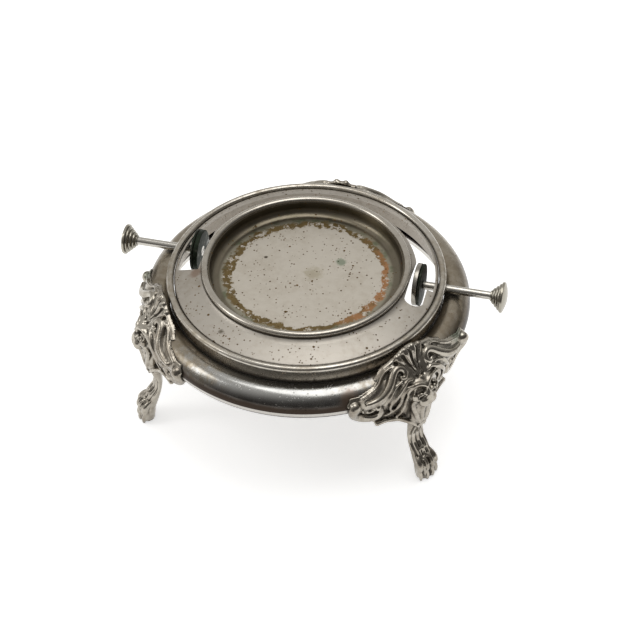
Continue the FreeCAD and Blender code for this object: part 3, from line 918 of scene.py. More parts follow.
@dataclass
class Stand:
    """The pieces that are turned round the stand's upright axis.

    Sizes are in millimetres. Radii and heights that the frame holds are read from it.
    """

    solder: float = 0.3
    fit: float = 0.05
    wire: float = 1.85
    wall: float = 1.2
    drill: float = 12.0
    shoulder: float = 9.0
    under: float = 6.6
    sheet: float = 1.2
    foot_width: float = 2.5
    fillet: float = 0.7
    ledge_sheet: float = 1.1
    flange_lap: float = 2.3
    seat_width: float = 3.0
    cove_width: float = 3.4
    cove_drop: float = 1.5
    cove_round: float = 6.0
    edge_drop: float = 1.0
    edge_turn: float = 1.2
    edge_angle: float = 74.0
    crescent_step: float = 2.5
    crescent_edge: float = 1.7
    crescent_cut: Point = (60.0, 100.0)
    left_slot: float = 13.5
    right_slot: float = 11.0
    slot_width: float = 9.4
    slot_round: float = 5.2
    broken_edge: float = 0.16
    well_sheet: float = 1.3
    well_cove: float = 4.0
    flange_width: float = 3.9
    floor_loops: tuple[float, ...] = (8.0, 16.0, 26.0, 36.0, 42.0)
    rim_width: float = 3.6
    rim_foot: float = 0.8
    rim_round: float = 1.9

    def build(self) -> None:
        """Build and dress every turned piece of the stand."""
        self.top_bead()
        self.neck_collar()
        self.body_shell()
        self.base_rim()
        self.ledge()
        self.dish_well()
        self.dish_rim()

    def hang(self, obj: Piece, node: str, finish: Finish) -> None:
        """Finish a piece that stands for one node of the stand."""
        finish_piece(obj, node + "_turned", "stand", node, finish)

    def top_bead(self) -> None:
        """The round wire, slotted underneath for the collar's edge."""
        radius, height = high("top_bead").x - self.wire, high("top_bead").z - self.wire
        half = self.wall / 2 + self.fit
        slot = math.degrees(math.asin(half / self.wire))
        outline = arc((radius, height), self.wire, -90 + slot, 270 - slot, 40)
        outline += [(radius - half, height), (radius + half, height)]
        self.hang(turn(outline), "top_bead", BEAD)

    def neck_collar(self) -> None:
        """The upright band, drilled for the pins."""
        outer, bottom, top = high("neck_collar").x, low("neck_collar").z, high("neck_collar").z
        inner = outer - self.wall
        obj = turn([(inner, top), (inner, bottom), (outer, bottom), (outer, top)])
        for side in Side:
            bush = f"{side.name.lower()}_bush"
            hole = primitive(
                bpy.ops.mesh.primitive_cylinder_add,
                vertices=48,
                radius=(size(bush).z / 2 + self.fit) * MM,
                depth=self.drill * MM,
                location=middle(bush) * MM,
                rotation=(0, math.pi / 2, 0),
            )
            settle(hole)
            carve(obj, hole)
        self.hang(obj, "neck_collar", PLATE)

    def body_shell(self) -> None:
        """The spun belly, open underneath."""
        belly, bottom = high("body_shell").x, low("body_shell").z
        over = (belly - self.shoulder, bottom + self.under)
        below = (belly - self.under, bottom + self.under)
        shoulder, under = self.shoulder - self.sheet, self.under - self.sheet
        reach = high("neck_collar").x + self.solder - over[0]
        start, inner_start = (math.degrees(math.acos(reach / r)) for r in (self.shoulder, shoulder))
        foot = belly - self.under - self.foot_width
        outline = arc(over, self.shoulder, start, 0, 26) + arc(below, self.under, 0, -90, 16)[1:]
        outline += [(foot, bottom), (foot, bottom + self.sheet)]
        outline += arc(below, under, -90, 0, 10) + arc(over, shoulder, 0, inner_start, 12)[1:]
        self.hang(turn(outline, 360), "body_shell", BELLY)

    def base_rim(self) -> None:
        """The foot ring with two fine fillets outside."""
        bottom, top = low("base_rim").z, high("base_rim").z
        outer = high("body_shell").x - self.under
        inner, centre = outer - self.foot_width, (bottom + top) / 2
        outline = [(inner, top), (inner, bottom)]
        outline += bow((outer, bottom), (outer, centre), self.fillet)
        outline += bow((outer, centre), (outer, top), self.fillet)[1:]
        self.hang(turn(outline), "base_rim", FOOT)

    def ledge(self) -> None:
        """The sloping top plate with the crescent opening and the pin slots."""
        outer, bottom, top = high("ledge_plate").x, low("ledge_plate").z, high("ledge_plate").z
        flange, sheet = high("dish_well").x, self.ledge_sheet
        hole = flange - self.flange_lap
        seat = hole + self.seat_width
        cove, cove_top = seat + self.cove_width, top - self.cove_drop
        edge, turned = outer - self.edge_turn, high("top_bead").z - self.edge_drop - self.edge_turn
        outline = [(hole, top - sheet), (hole, top)]
        outline += bow((seat, top), (cove, cove_top), self.cove_round)
        outline += arc((edge, turned), self.edge_turn, self.edge_angle, 0, 8)
        outline += [(outer, bottom), (outer - sheet, bottom), (outer - sheet, turned - sheet)]
        outline += [(edge, turned + self.edge_turn - sheet)]
        outline += bow((cove, cove_top - sheet), (seat, top - sheet), -self.cove_round)
        obj = turn(outline)
        inner, slot = seat + self.crescent_step, flange + self.solder
        crescent = self.crescent(inner, outer - self.crescent_edge, slot)
        carve(obj, flat_block(crescent, *self.crescent_cut))
        edges = {"limit_method": "ANGLE", "angle_limit": math.radians(50)}
        apply_modifier(obj, "BEVEL", width=self.broken_edge * MM, segments=2, **edges)
        self.hang(obj, "ledge_plate", LEDGE)

    def crescent(self, inner: float, outer: float, slot: float) -> list[Point]:
        """The outline of the crescent opening with its two pin slots.

        Args:
            inner: The crescent's inner radius.
            outer: Its outer radius.
            slot: How far from the middle the slots start.

        Returns:
            The outline's corners.
        """
        corner = math.degrees(math.acos(slot / inner))
        last = 180 + math.degrees(math.asin(self.left_slot / outer))
        front, far = -self.right_slot, slot + self.slot_width
        points = arc((0, 0), outer, 0, last, 120)
        points += [(-slot, -self.left_slot)]
        points += arc((0, 0), inner, 180 - corner, corner, 90)
        points += bow((slot, front), (far, front), self.slot_round, 16)
        return points + [(far, 0)]

    def dish_well(self) -> None:
        """The pan with its coved corner, its wall and its flange."""
        flange, bottom, top = high("dish_well").x, low("dish_well").z, high("dish_well").z
        radius, floor = flange - self.flange_width, bottom + self.well_sheet
        seat = high("ledge_plate").z
        cove = (radius - self.well_cove, floor + self.well_cove)
        outline = [(loop, floor) for loop in self.floor_loops]
        outline += arc(cove, self.well_cove, -90, 0, 14)
        outline += [(radius, top), (flange, top), (flange, seat), (radius + self.well_sheet, seat)]
        outline += arc(cove, self.well_cove + self.well_sheet, 0, -90, 10)
        outline += [(0, bottom)]
        self.hang(turn(outline), "dish_well", FLOOR)

    def dish_rim(self) -> None:
        """The half-round wire on the pan's flange."""
        right, bottom = high("dish_rim").x, low("dish_rim").z
        left, foot = right - self.rim_width, bottom + self.rim_foot
        outline = [(left, foot), (left, bottom), (right, bottom)]
        outline += bow((right, foot), (left, foot), self.rim_round, 20)[:-1]
        self.hang(turn(outline), "dish_rim", RIM)


# The pins


@dataclass
class Pin:
    """The turned pieces on one pin, from its disc screw to its knob.

    Sizes are in millimetres along and across the pin.
    """

    side: Side
    radius: float = 2.15
    neck: float = 1.6
    play: float = 0.3
    tang: float = 1.5
    tang_length: float = 4.5
    fit: float = 0.05
    bush_wall: float = 0.3
    disc_edge: float = 0.35
    screw_head: float = 2.6
    head_depth: float = 0.9
    shank: float = 0.8
    screw_length: float = 4.0
    screw_slot: Place = (0.6, 10.0, 1.0)
    knob_bore: float = 4.8
    knob_foot: Point = (2.9, 0.7)
    rings: int = 3
    ring_step: Point = (1.35, 1.5)
    ring_round: float = 1.15
    flange_edge: float = 0.25
    face_edge: Point = (0.12, 0.02)
    face_rim: float = 0.2
    dome: float = 1.9

    def node(self, end: str) -> str:
        """The whole name of a node or body on this pin, from the end of it."""
        return f"{self.side.name.lower()}_{end}"

    def start(self, end: str) -> float:
        """How far from the ring's axis a node starts."""
        return min(abs(low(self.node(end)).x), abs(high(self.node(end)).x))

    def lay(self, obj: Piece, end: str, finish: Finish, body: str = "") -> None:
        """Lay an upright turned piece along the pin's axis and finish it.

        Args:
            obj: The piece, turned round the upright axis from height zero.
            end: The end of its node's name.
            finish: Its finish.
            body: The body that it rides on, if that isn't the pin.
        """
        node, axis = self.node(end), middle(self.node("knob"))
        obj.rotation_euler = (0, self.side.value * math.pi / 2, 0)
        obj.location = Vector((self.side.value * self.start(end), axis.y, axis.z)) * MM
        settle(obj)
        finish_piece(obj, node + "_turned", body or self.node("pin"), node, finish)

    def build(self) -> None:
        """Build and dress every piece on the pin."""
        self.discs()
        self.spindle()
        self.knob()
        self.screw()
        self.bush()

    def discs(self) -> None:
        """The inner disc, sunk for its screw, and the thinner loose one behind it."""
        bore, sink = self.neck + self.fit, self.screw_head + self.fit
        length = size(self.node("inner_disc")).x
        outline = [(sink, self.head_depth), (bore, self.head_depth), (bore, length)]
        outline += [*self.disc_edges(length), (sink, 0)]
        # The right pin's inner disc takes the lighter copy, a painted highlight.
        finish = DISC if self.side is Side.LEFT else PAINTED_HIGHLIGHT_DISC
        self.lay(turn(outline, 160), "inner_disc", finish)
        length = size(self.node("outer_disc")).x
        outline = [(bore, 0), (bore, length), *self.disc_edges(length)]
        self.lay(turn(outline, 160), "outer_disc", DISC, self.node("ear_disc"))

    def disc_edges(self, length: float) -> list[Point]:
        """The two rounded outer edges of a disc, the far one first.

        Args:
            length: The disc's thickness.

        Returns:
            The points.
        """
        edge = self.disc_edge
        radius = size(self.node("inner_disc")).z / 2 - edge
        return arc((radius, length - edge), edge, 90, 0, 4) + arc((radius, edge), edge, 0, -90, 4)

    def spindle(self) -> None:
        """The pin with its screw hole, its neck, its running length and its tang."""
        place = self.start("inner_disc") + self.head_depth
        drill = self.shank + self.fit
        shoulder = self.start("outer_disc") + size(self.node("outer_disc")).x + self.play - place
        seat = self.start("knob") - place
        end = seat + self.tang_length
        outline = [(drill, self.screw_length), (drill, 0), (self.neck, 0), (self.neck, shoulder)]
        outline += [(self.radius, shoulder), (self.radius, seat), (self.tang, seat)]
        outline += [(self.tang, end), (0, end)]
        self.lay(turn(outline, 96), "spindle", PIN)

    def knob(self) -> None:
        """The knob: rounded rings that widen towards a flange with a domed face."""
        knob, bore = size(self.node("knob")), self.tang + self.fit
        flange, face = knob.z / 2, knob.x - self.dome
        radius, height = self.knob_foot
        outline = [(bore, self.knob_bore), (bore, 0), (radius, 0)]
        for _ in range(self.rings):
            after = (radius + self.ring_step[0], height + self.ring_step[1])
            outline += bow((radius, height), after, self.ring_round, 10)
            radius, height = after
        edge, (drop, lift) = self.flange_edge, self.face_edge
        outline += [(radius - edge, height), (flange - edge, height), (flange, height + edge)]
        outline += [(flange, face - self.face_rim), (flange - drop, face + lift)]
        sphere = (flange**2 + self.dome**2) / (2 * self.dome)
        outline += bow((flange, face), (0, knob.x), sphere, 22)[2:-1]
        outline += [(0, knob.x)]
        self.lay(turn(outline, 160), "knob", KNOB)

    def screw(self) -> None:
        """The countersunk screw with its slotted head."""
        outline = [(self.screw_head, 0), (self.screw_head, self.head_depth), (self.shank, self.head_depth)]
        outline += [(self.shank, self.screw_length), (0, self.screw_length)]
        obj = turn(outline, 64)
        tool = primitive(bpy.ops.mesh.primitive_cube_add, size=1, scale=Vector(self.screw_slot) * MM)
        settle(tool)
        carve(obj, tool)
        self.lay(obj, "disc_screw", PIN)

    def bush(self) -> None:
        """The thin sleeve in the collar that the pin runs in."""
        inner, length = self.radius + self.fit, size(self.node("bush")).x
        outer = inner + self.bush_wall
        outline = [(inner, 0), (inner, length), (outer, length), (outer, 0)]
        self.lay(turn(outline, 64), "bush", PIN, "stand")


# The legs


@dataclass(frozen=True)
class Strand:
    """A rounded strand on both halves of a casting.

    Its way is given as places across and drops, and its radii at the start and at even steps to
    its end. Its middle line stands proud of the surface by so much.
    """

    way: tuple[Point, ...]
    radii: tuple[float, ...]
    proud: float = 0.0


@dataclass(frozen=True)
class Stroke:
    """A raised or cut line on the casting: its way, its half width and its height."""

    way: tuple[Place, ...]
    width: float
    height: float


# Drop and reach of the knee's front, from top to bottom.
SWELL = np.array([
    (-1.5, 75.0), (3.0, 76.5), (7.0, 79.0), (10.0, 82.0), (13.0, 84.4), (17.0, 86.0), (21.0, 85.8),
    (25.0, 84.6), (31.0, 83.2), (38.0, 82.3), (46.0, 81.9),
])
# Drop, reach and half width of the mask's ridge.
FACE = np.array([
    (12.6, 81.8, 5.0), (13.6, 85.6, 6.8), (14.6, 87.9, 7.8), (16.5, 89.2, 8.8), (19.0, 90.6, 9.2),
    (21.5, 92.4, 8.8), (24.5, 92.3, 8.0), (28.0, 90.6, 7.0), (32.0, 89.2, 6.4), (37.0, 88.5, 6.1),
    (42.0, 88.2, 5.8), (47.0, 86.6, 5.6),
])
# Place across and drop of the plate's edge, down its right half.
OUTLINE = (
    (0, 0.5), (4.5, 1.4), (8.1, 3.2), (12.4, 4.6), (16.0, 5.6), (19.6, 7.8), (23.6, 9.8), (29.1, 10.9),
    (33.5, 12.0), (37.5, 12.2), (40.0, 15.5), (39.2, 20.5), (36.3, 25.5), (32.3, 30.0), (26.0, 34.2),
    (22.0, 39.0), (17.0, 40.0), (11.0, 42.2), (6.0, 46.0), (0, 47.0),
)
# Height, reach of the middle, and half sizes along and across of the stem's ovals.
STEM = np.array([
    (0.0, 89.2, 4.0, 5.0), (4.0, 88.8, 4.2, 5.6), (8.0, 88.4, 4.2, 5.8), (13.8, 86.2, 4.2, 5.6),
    (17.7, 84.4, 3.6, 5.5), (21.1, 82.5, 2.4, 5.3), (26.0, 81.5, 2.15, 5.2), (32.9, 82.5, 3.2, 5.6),
    (40.2, 84.0, 4.0, 6.0), (49.0, 84.6, 4.4, 6.2),
])
HOOK = Strand(
    ((10.4, 10.2), (9.0, 11.2), (7.3, 10.4), (6.9, 8.4), (8.6, 6.8), (11.2, 6.9), (13.7, 8.4),
     (16.6, 10.8), (20.3, 13.2), (23.9, 15.1), (27.6, 16.1), (31.0, 16.2)),
    (1.0, 1.4, 2.0, 2.3, 2.1, 1.4), 0.3,
)
BORDER = Strand(
    ((11.0, 5.6), (14.5, 6.0), (17.0, 7.0), (19.8, 8.8), (23.4, 10.8), (28.9, 12.2), (33.4, 13.4)),
    (0.6, 0.8, 0.8, 0.6), -0.3,
)
OUTER_ROLL = Strand(
    ((37.9, 17.4), (38.0, 20.6), (35.6, 25.0), (31.2, 28.8), (26.4, 30.8), (22.9, 30.2), (21.9, 27.2),
     (23.1, 23.6), (25.3, 21.4)),
    (2.5, 2.6, 2.0, 1.1), 0.1,
)
INNER_ROLL = Strand(
    ((33.4, 19.8), (32.8, 21.8), (30.4, 24.4), (27.6, 25.8), (26.0, 24.6), (26.6, 22.8)),
    (0.8, 0.9, 0.7), 0.1,
)
LEAF = Strand(
    ((22.8, 36.9), (20.3, 35.9), (15.3, 36.6), (9.9, 39.4), (5.5, 43.4), (2.0, 47.6)),
    (1.5, 1.3, 1.0), 0.2,
)
MANE = (
    Strand(((10.2, 12.0), (14.4, 12.4), (17.8, 14.6), (19.6, 18.0), (21.6, 21.6)), (0.7, 1.0, 0.8)),
    Strand(
        ((5.7, 13.0), (7.6, 11.9), (10.2, 13.6), (13.0, 15.0), (15.2, 18.0), (17.6, 21.4), (18.4, 26.0),
         (16.4, 30.0)),
        (0.9, 1.3, 1.1, 0.8), 0.3,
    ),
    Strand(
        ((6.5, 15.6), (9.4, 15.4), (11.9, 17.0), (12.9, 20.4), (12.0, 24.8), (13.4, 28.4), (16.0, 30.6),
         (19.4, 31.6)),
        (0.8, 1.2, 1.1, 0.8), 0.3,
    ),
    Strand(((8.8, 21.4), (9.4, 25.4), (8.6, 29.8), (9.8, 33.6), (12.6, 35.6)), (1.0, 1.2, 0.9), 0.2),
)
BROW = Strand(((0.4, 17.2), (2.0, 15.4), (4.8, 14.9), (7.4, 16.6), (9.0, 19.6)), (1.0, 1.5, 1.1))
BEARD = (
    Strand(((5.6, 23.0), (6.6, 27.5), (5.4, 34.0), (3.4, 40.5), (1.4, 46.0)), (1.3, 1.4, 1.0), -0.1),
    Strand(((1.6, 30.5), (2.0, 34.0), (1.3, 40.0), (0.5, 46.0)), (0.9, 1.0, 0.7)),
)
# Drop and radius along the nose, and how far its middle line is sunk.
NOSE, NOSE_SINK = ((16.0, 1.1), (19.0, 1.3), (22.5, 2.0), (26.0, 2.4)), -0.6
# Spot and half sizes of the lumps on both halves: the rolled balls, and the muzzle with the cheek.
BALLS = (((36.9, 17.2, -0.6), (3.0, 3.2, 3.4)), ((25.0, 21.8, 0.0), (1.5, 1.7, 1.7)))
MUZZLE = (((2.0, 25.6, -1.2), (2.8, 3.4, 3.6)), ((6.8, 21.4, -0.3), (1.5, 1.9, 2.8)))
# Share of the way from root to lip, and radius, along a petal of the shell.
PETAL = ((0.0, 0.9), (0.2, 1.3), (0.4, 1.8), (0.6, 2.25), (0.8, 2.6), (0.92, 2.5), (1.0, 1.9))
# Place and half sizes of the tuft over the paw and of the paw's back.
TUFT = (((85.6, 0, 17.0), (3.0, 4.0, 2.2)), ((86.8, 0, 12.6), (4.0, 5.0, 3.4)))
# Reach, share of the toe's place across, height and radius along a toe and along its claw.
TOE = (
    (87.4, 0.8, 14.4, 1.1), (90.6, 0.94, 12.6, 1.7), (92.6, 1.0, 9.6, 2.1), (92.4, 1.02, 6.8, 1.8),
    (91.6, 1.02, 4.6, 1.3), (91.6, 1.02, 2.4, 1.2),
)
CLAW = ((92.8, 1.04, 4.6, 1.3), (93.7, 1.05, 2.6, 1.25), (93.4, 1.05, 0.7, 0.8))
# Reach, share of the place across and height along the grooves between the toes.
TOE_GROOVE = ((91.5, 0.95, 13.0), (94.0, 1.0, 10.0), (93.6, 1.0, 6.0), (93.4, 1.0, 1.0))
# Share of the place across and drop along the flutes of the stem.
FLUTE = ((0.7, 44), (0.9, 48), (1.1, 53), (1.3, 59), (1.3, 66))


@dataclass
class Leg:
    """One casting: scrolled knee, shell crest, mask, fluted stem and paw.

    It is built towards +X and copied to its three places. Spots on it are given in millimetres as
    across, the drop under the ring's crest, and how far they stand proud of the surface.
    """

    pitch: float = 0.38
    solder: float = 0.3
    neck_rise: float = 8.7
    foot_drop: float = 6.8
    hug: float = 2.4
    hug_start: float = 10.0
    hug_width: float = 22.0
    skin: float = 1.2
    face_root: float = 82.0
    grid: Point = (82.0, 50.0)
    grid_top: float = -1.0
    grid_edge: float = 0.3
    ground: float = 1.0
    ground_start: float = 6.0
    ground_width: float = 3.0
    sheet: float = 2.4
    thinnest: float = 0.7
    petals: int = 6
    fan: float = 116.0
    shell_drop: float = 14.2
    shell_reach: float = 12.6
    shell_root: float = 86.2
    shell_lip: float = 75.2
    shell_hollow: float = 2.6
    toes: tuple[float, ...] = (-5.0, -1.75, 1.75, 5.0)
    outer_toe_pull: float = 1.3
    above_crest: float = 0.4
    smooth_angle: float = 60.0

    def __post_init__(self) -> None:
        """Read the body's heights and radii from the frame."""
        self.crest = high("top_bead").z
        self.belly = high("body_shell").x
        self.centre = low("body_shell").z + Stand.under
        self.neck = high("top_bead").x + self.solder
        self.foot = high("base_rim").x + self.solder
        self.body_floor = low("base_rim").z - self.solder

    def room(self, height: np.ndarray) -> np.ndarray:
        """How far out the body with its solder gap reaches.

        Args:
            height: Heights over the floor.

        Returns:
            The radii, zero under the body.
        """
        rise = height - self.centre
        over, under = (
            self.belly - radius + np.sqrt(np.maximum((radius + self.solder) ** 2 - rise**2, 0))
            for radius in (Stand.shoulder, Stand.under)
        )
        reach = np.where(rise > 0, over, under)
        reach = np.where(rise > self.neck_rise, self.neck, reach)
        reach = np.where(rise < -self.foot_drop, self.foot, reach)
        return np.where(height < self.body_floor, 0.0, reach)

    def surface(self, across: np.ndarray, drop: np.ndarray) -> np.ndarray:
        """The casting's front surface without its ornament.

        Args:
            across: Places across the leg.
            drop: Drops under the crest.

        Returns:
            The distances from the ring's axis plane, along X.
        """
        across, drop = np.asarray(across, dtype=float), np.asarray(drop, dtype=float)
        reach = np.interp(drop, SWELL[:, 0], SWELL[:, 1])
        reach = reach - self.hug * np.clip((np.abs(across) - self.hug_start) / self.hug_width, 0, 1)
        knee = np.sqrt(np.maximum(reach**2 - across**2, 0))
        body = np.sqrt(np.maximum(self.room(self.crest - drop) ** 2 - across**2, 0))
        knee = np.maximum(knee, body + self.skin)
        proud, half = (np.interp(drop, FACE[:, 0], FACE[:, column]) for column in (1, 2))
        share = np.maximum(1 - (across / half) ** 2, 0)
        shown = (share > 0) & (drop > FACE[0, 0]) & (drop < FACE[-1, 0])
        face = np.where(shown, self.face_root + (proud - self.face_root) * np.sqrt(share), 0)
        height = self.crest - drop
        reach, deep, wide = (np.interp(height, STEM[:, 0], STEM[:, column]) for column in (1, 2, 3))
        share = np.maximum(1 - (across / wide) ** 2, 0)
        stem = np.where((share > 0) & (height < STEM[-1, 0]), reach + deep * np.sqrt(share), 0)
        return np.maximum(np.maximum(knee, face), stem)

    def at(self, across: float, drop: float, proud: float = 0.0) -> Place:
        """The place of a spot on the surface, or of one that stands proud of it."""
        return (float(self.surface(across, drop)) + proud, across, self.crest - drop)

    def plate(self) -> Piece:
        """The knee's plate, cut to its scrolled outline and kept clear of the body.

        Returns:
            The plate.
        """
        half = np.array(OUTLINE, dtype=float)
        loop = np.vstack([half, half[-2::-1] * (-1, 1)])
        grid = {"x_subdivisions": 320, "y_subdivisions": 200, "size": 1}
        obj = primitive(bpy.ops.mesh.primitive_grid_add, **grid)
        spots = vertices_of(obj) * MM
        width, depth = self.grid
        flat = np.column_stack([spots[:, 0] * width, (spots[:, 1] + 0.5) * depth + self.grid_top])
        near, away = nearest(flat, loop)
        within = lie_within(flat, loop)
        flat = np.where(within[:, None], flat, near)
        set_vertices(obj, np.column_stack([flat, np.zeros(len(flat))]))
        self.drop_vertices(obj, ~(within | (away < self.grid_edge)))
        edit_all()
        bpy.ops.mesh.extrude_region_move(TRANSFORM_OT_translate={"value": (0, 0, MM)})
        bpy.ops.object.mode_set(mode="OBJECT")
        across, drop, level = vertices_of(obj).T
        height = self.crest - drop
        front = self.surface(across, drop)
        front -= self.ground * np.clip((np.abs(across) - self.ground_start) / self.ground_width, 0, 1)
        body = np.sqrt(np.maximum(self.room(height) ** 2 - across**2, 0))
        back = np.maximum(front - self.sheet, body)
        reach = np.where(level > 0.5, np.maximum(front, back + self.thinnest), back)
        set_vertices(obj, np.column_stack([reach, across, height]))
        edit_all()
        close_up()
        return obj

    @staticmethod
    def drop_vertices(obj: Piece, marked: np.ndarray) -> None:
        """Delete some of a mesh's vertices.

        Args:
            obj: The piece.
            marked: True for each vertex that goes.
        """
        bpy.ops.object.mode_set(mode="EDIT")
        bpy.ops.mesh.select_mode(type="VERT")
        bpy.ops.mesh.select_all(action="DESELECT")
        bpy.ops.object.mode_set(mode="OBJECT")
        obj.data.vertices.foreach_set("select", marked)
        bpy.ops.object.mode_set(mode="EDIT")
        bpy.ops.mesh.delete(type="VERT")
        bpy.ops.object.mode_set(mode="OBJECT")

    def stem(self) -> Piece:
        """The stem and the paw's block, through oval sections.

        Returns:
            The stem.
        """
        height, reach, deep, wide = STEM[0]
        obj = primitive(bpy.ops.mesh.primitive_circle_add, vertices=64, radius=MM, fill_type="NGON")
        obj.location, obj.scale = (reach * MM, 0, height * MM), (deep, wide, 1)
        settle(obj)
        edit_all()
        for before, after in zip(STEM, STEM[1:]):
            move = ((after[1] - before[1]) * MM, 0, (after[0] - before[0]) * MM)
            bpy.ops.mesh.extrude_region_move(TRANSFORM_OT_translate={"value": move})
            scale = (after[2] / before[2], after[3] / before[3], 1)
            bpy.ops.transform.resize(value=scale, center_override=(after[1] * MM, 0, after[0] * MM))
        close_up()
        return obj

    def strands(self, *table: Strand) -> list[Piece]:
        """Rounded strands on both halves of the knee.

        Args:
            table: The strands.

        Returns:
            Each strand and its mirror image.
        """
        made = []
        for strand in table:
            steps = np.linspace(0, 1, len(strand.way))
            radii = np.interp(steps, np.linspace(0, 1, len(strand.radii)), strand.radii)
            for hand in (1, -1):
                spots = [self.at(hand * across, drop, strand.proud) for across, drop in strand.way]
                made.append(tube(spots, list(radii)))
        return made

    def lumps(self, table: Iterable[tuple[Place, Place]]) -> list[Piece]:
        """Egg-shaped lumps on both halves, from their spots and half sizes."""
        rows = [(hand, *row) for hand in (1, -1) for row in table]
        return [egg(self.at(hand * spot[0], *spot[1:]), radii) for hand, spot, radii in rows]

    def scrolls(self) -> list[Piece]:
        """The scrolls, leaves, locks and rolled balls at both sides of the knee."""
        return self.strands(HOOK, BORDER, OUTER_ROLL, INNER_ROLL, LEAF, *MANE) + self.lumps(BALLS)

    def mask(self) -> list[Piece]:
        """The lion mask: brows, beard, nose, muzzle and cheeks."""
        nose = tube([self.at(0, drop, NOSE_SINK) for drop, _ in NOSE], [radius for _, radius in NOSE])
        return [*self.strands(BROW, *BEARD), nose, *self.lumps(MUZZLE)]

    def shell(self) -> list[Piece]:
        """The hollowed shell crest of petals with a rolled lip.

        Returns:
            The petals.
        """
        made = []
        for index in range(self.petals):
            angle = math.radians(self.fan * (index / (self.petals - 1) - 0.5))
            spots = [self.on_shell(angle, share) for share, _ in PETAL]
            made.append(tube(spots, [radius for _, radius in PETAL]))
        return made

    def on_shell(self, angle: float, share: float, proud: float = 0.0) -> Place:
        """A spot on the shell's hollow.

        Args:
            angle: The petal's lean from upright, in radians.
            share: How far along the petal, from its root to its lip.
            proud: How far the spot stands out.

        Returns:
            Its place.
        """
        away = self.shell_reach * share
        across = away * math.sin(angle)
        reach = self.shell_root + (self.shell_lip - self.shell_root) * share
        reach += proud - self.shell_hollow * math.sin(math.pi * share**0.8)
        height = self.crest - self.shell_drop + away * math.cos(angle)
        return (math.sqrt(reach**2 - across**2), across, height)

    def paw(self) -> list[Piece]:
        """The four toes with their claws, and the tuft over the paw.

        Returns:
            The pieces.
        """
        made = [egg(place, radii) for place, radii in TUFT]
        for across in self.toes:
            pull = self.outer_toe_pull if abs(across) == max(self.toes) else 0.0
            for way in (TOE, CLAW):
                spots = [(reach - pull, across * share, height) for reach, share, height, _ in way]
                made.append(tube(spots, [radius for *_, radius in way]))
        return made

    def cut(self, way: Sequence[Point], width: float, height: float) -> list[Stroke]:
        """A stroke and its mirror image, along places across and drops on the knee."""
        ways = [tuple(self.at(hand * across, drop) for across, drop in way) for hand in (1, -1)]
        return [Stroke(way, width, height) for way in ways]

    def strokes(self) -> list[Stroke]:
        """The fine lines of the casting, in the order in which they are cut.

        Returns:
            The strokes.
        """
        lines = self.cut([(2.6, 18.6), (4.2, 18.2), (5.8, 19.4)], 1.3, -2.2)
        lines += self.cut([(2.8, 21.2), (5.0, 22.4), (5.8, 25.0)], 0.8, -1.2)
        for across, height in ((0.0, -0.5), (3.4, -0.9)):
            for hand in (1, -1):
                way = tuple((reach, hand * across * share, rise) for reach, share, rise in TOE_GROOVE)
                lines.append(Stroke(way, 0.55, height))
        for start in (8.5, 11.0, 13.5):
            lock = ((start, 14), (start + 3.4, 18), (start + 3.8, 23))
            lines += self.cut([(across, start * 0.5 + drop) for across, drop in lock], 0.5, -0.5)
        for across in (1.1, 3.3):
            lines += self.cut([(across * share, drop) for share, drop in FLUTE], 0.75, -0.7)
        for across in (14.0, 17.0, 20.0):
            lines += self.cut([(across, 33.4), (across + 1.2, 36.2)], 0.5, -0.5)
        return lines + self.shell_strokes()

    def shell_strokes(self) -> list[Stroke]:
        """The grooves between the shell's petals and the fine ribs on them.

        Returns:
            The strokes.
        """
        grooves = [index - self.petals / 2 for index in range(self.petals + 1)]
        ribs = [index / 2 - self.petals / 2 + 0.25 for index in range(self.petals * 2)]
        step, lines = self.fan / (self.petals - 1), []
        for places, shares, proud, width, height in (
            (grooves, (0.15, 0.4, 0.65, 0.85, 1.05), 1.8, 0.6, -0.9),
            (ribs, (0.5, 0.7, 0.9), 2.2, 0.35, -0.35),
        ):
            for place in places:
                angle = math.radians(step * place)
                way = tuple(self.on_shell(angle, share, proud) for share in shares)
                lines.append(Stroke(way, width, height))
        return lines

    def casting(self) -> Piece:
        """The whole casting, towards +X.

        Returns:
            The casting.
        """
        parts = [self.plate(), self.stem()]
        parts += self.scrolls() + self.mask() + self.shell() + self.paw()
        obj = join(parts)
        apply_modifier(obj, "REMESH", mode="VOXEL", voxel_size=self.pitch * MM, adaptivity=0.0)
        set_vertices(obj, self.clear(vertices_of(obj)))
        apply_modifier(obj, "SMOOTH", factor=0.5, iterations=5)
        spots, normals = vertices_of(obj), normals_of(obj)
        for stroke in self.strokes():
            away = nearest(spots, np.array(stroke.way))[1]
            spots = spots + normals * (stroke.height * np.exp(-((away / stroke.width) ** 2)))[:, None]
        set_vertices(obj, self.clear(spots))
        store_hollows(obj)
        return obj

    def clear(self, spots: np.ndarray) -> np.ndarray:
        """Keep the casting out of the body and over the floor.

        Args:
            spots: Its vertices.

        Returns:
            The vertices, pushed out where needed.
        """
        spots = spots.copy()
        spots[:, 2] = np.clip(spots[:, 2], 0, self.crest + self.above_crest)
        reach = np.hypot(spots[:, 0], spots[:, 1])
        room = self.room(spots[:, 2])
        growth = np.where(reach < room, room / np.maximum(reach, 1), 1.0)
        spots[:, :2] *= growth[:, None]
        return spots

    def build(self) -> None:
        """Build the casting and set it at its three places."""
        first = self.casting()
        for name in ("leg_rear", "leg_front_left", "leg_front_right"):
            obj = first.copy()
            obj.data = first.data.copy()
            bpy.context.scene.collection.objects.link(obj)
            obj.rotation_euler = (0, 0, self.turned(name))
            settle(obj)
            finish_piece(obj, name + "_casting", "stand", name, LEG, self.smooth_angle)
        bpy.data.objects.remove(first, do_unlink=True)

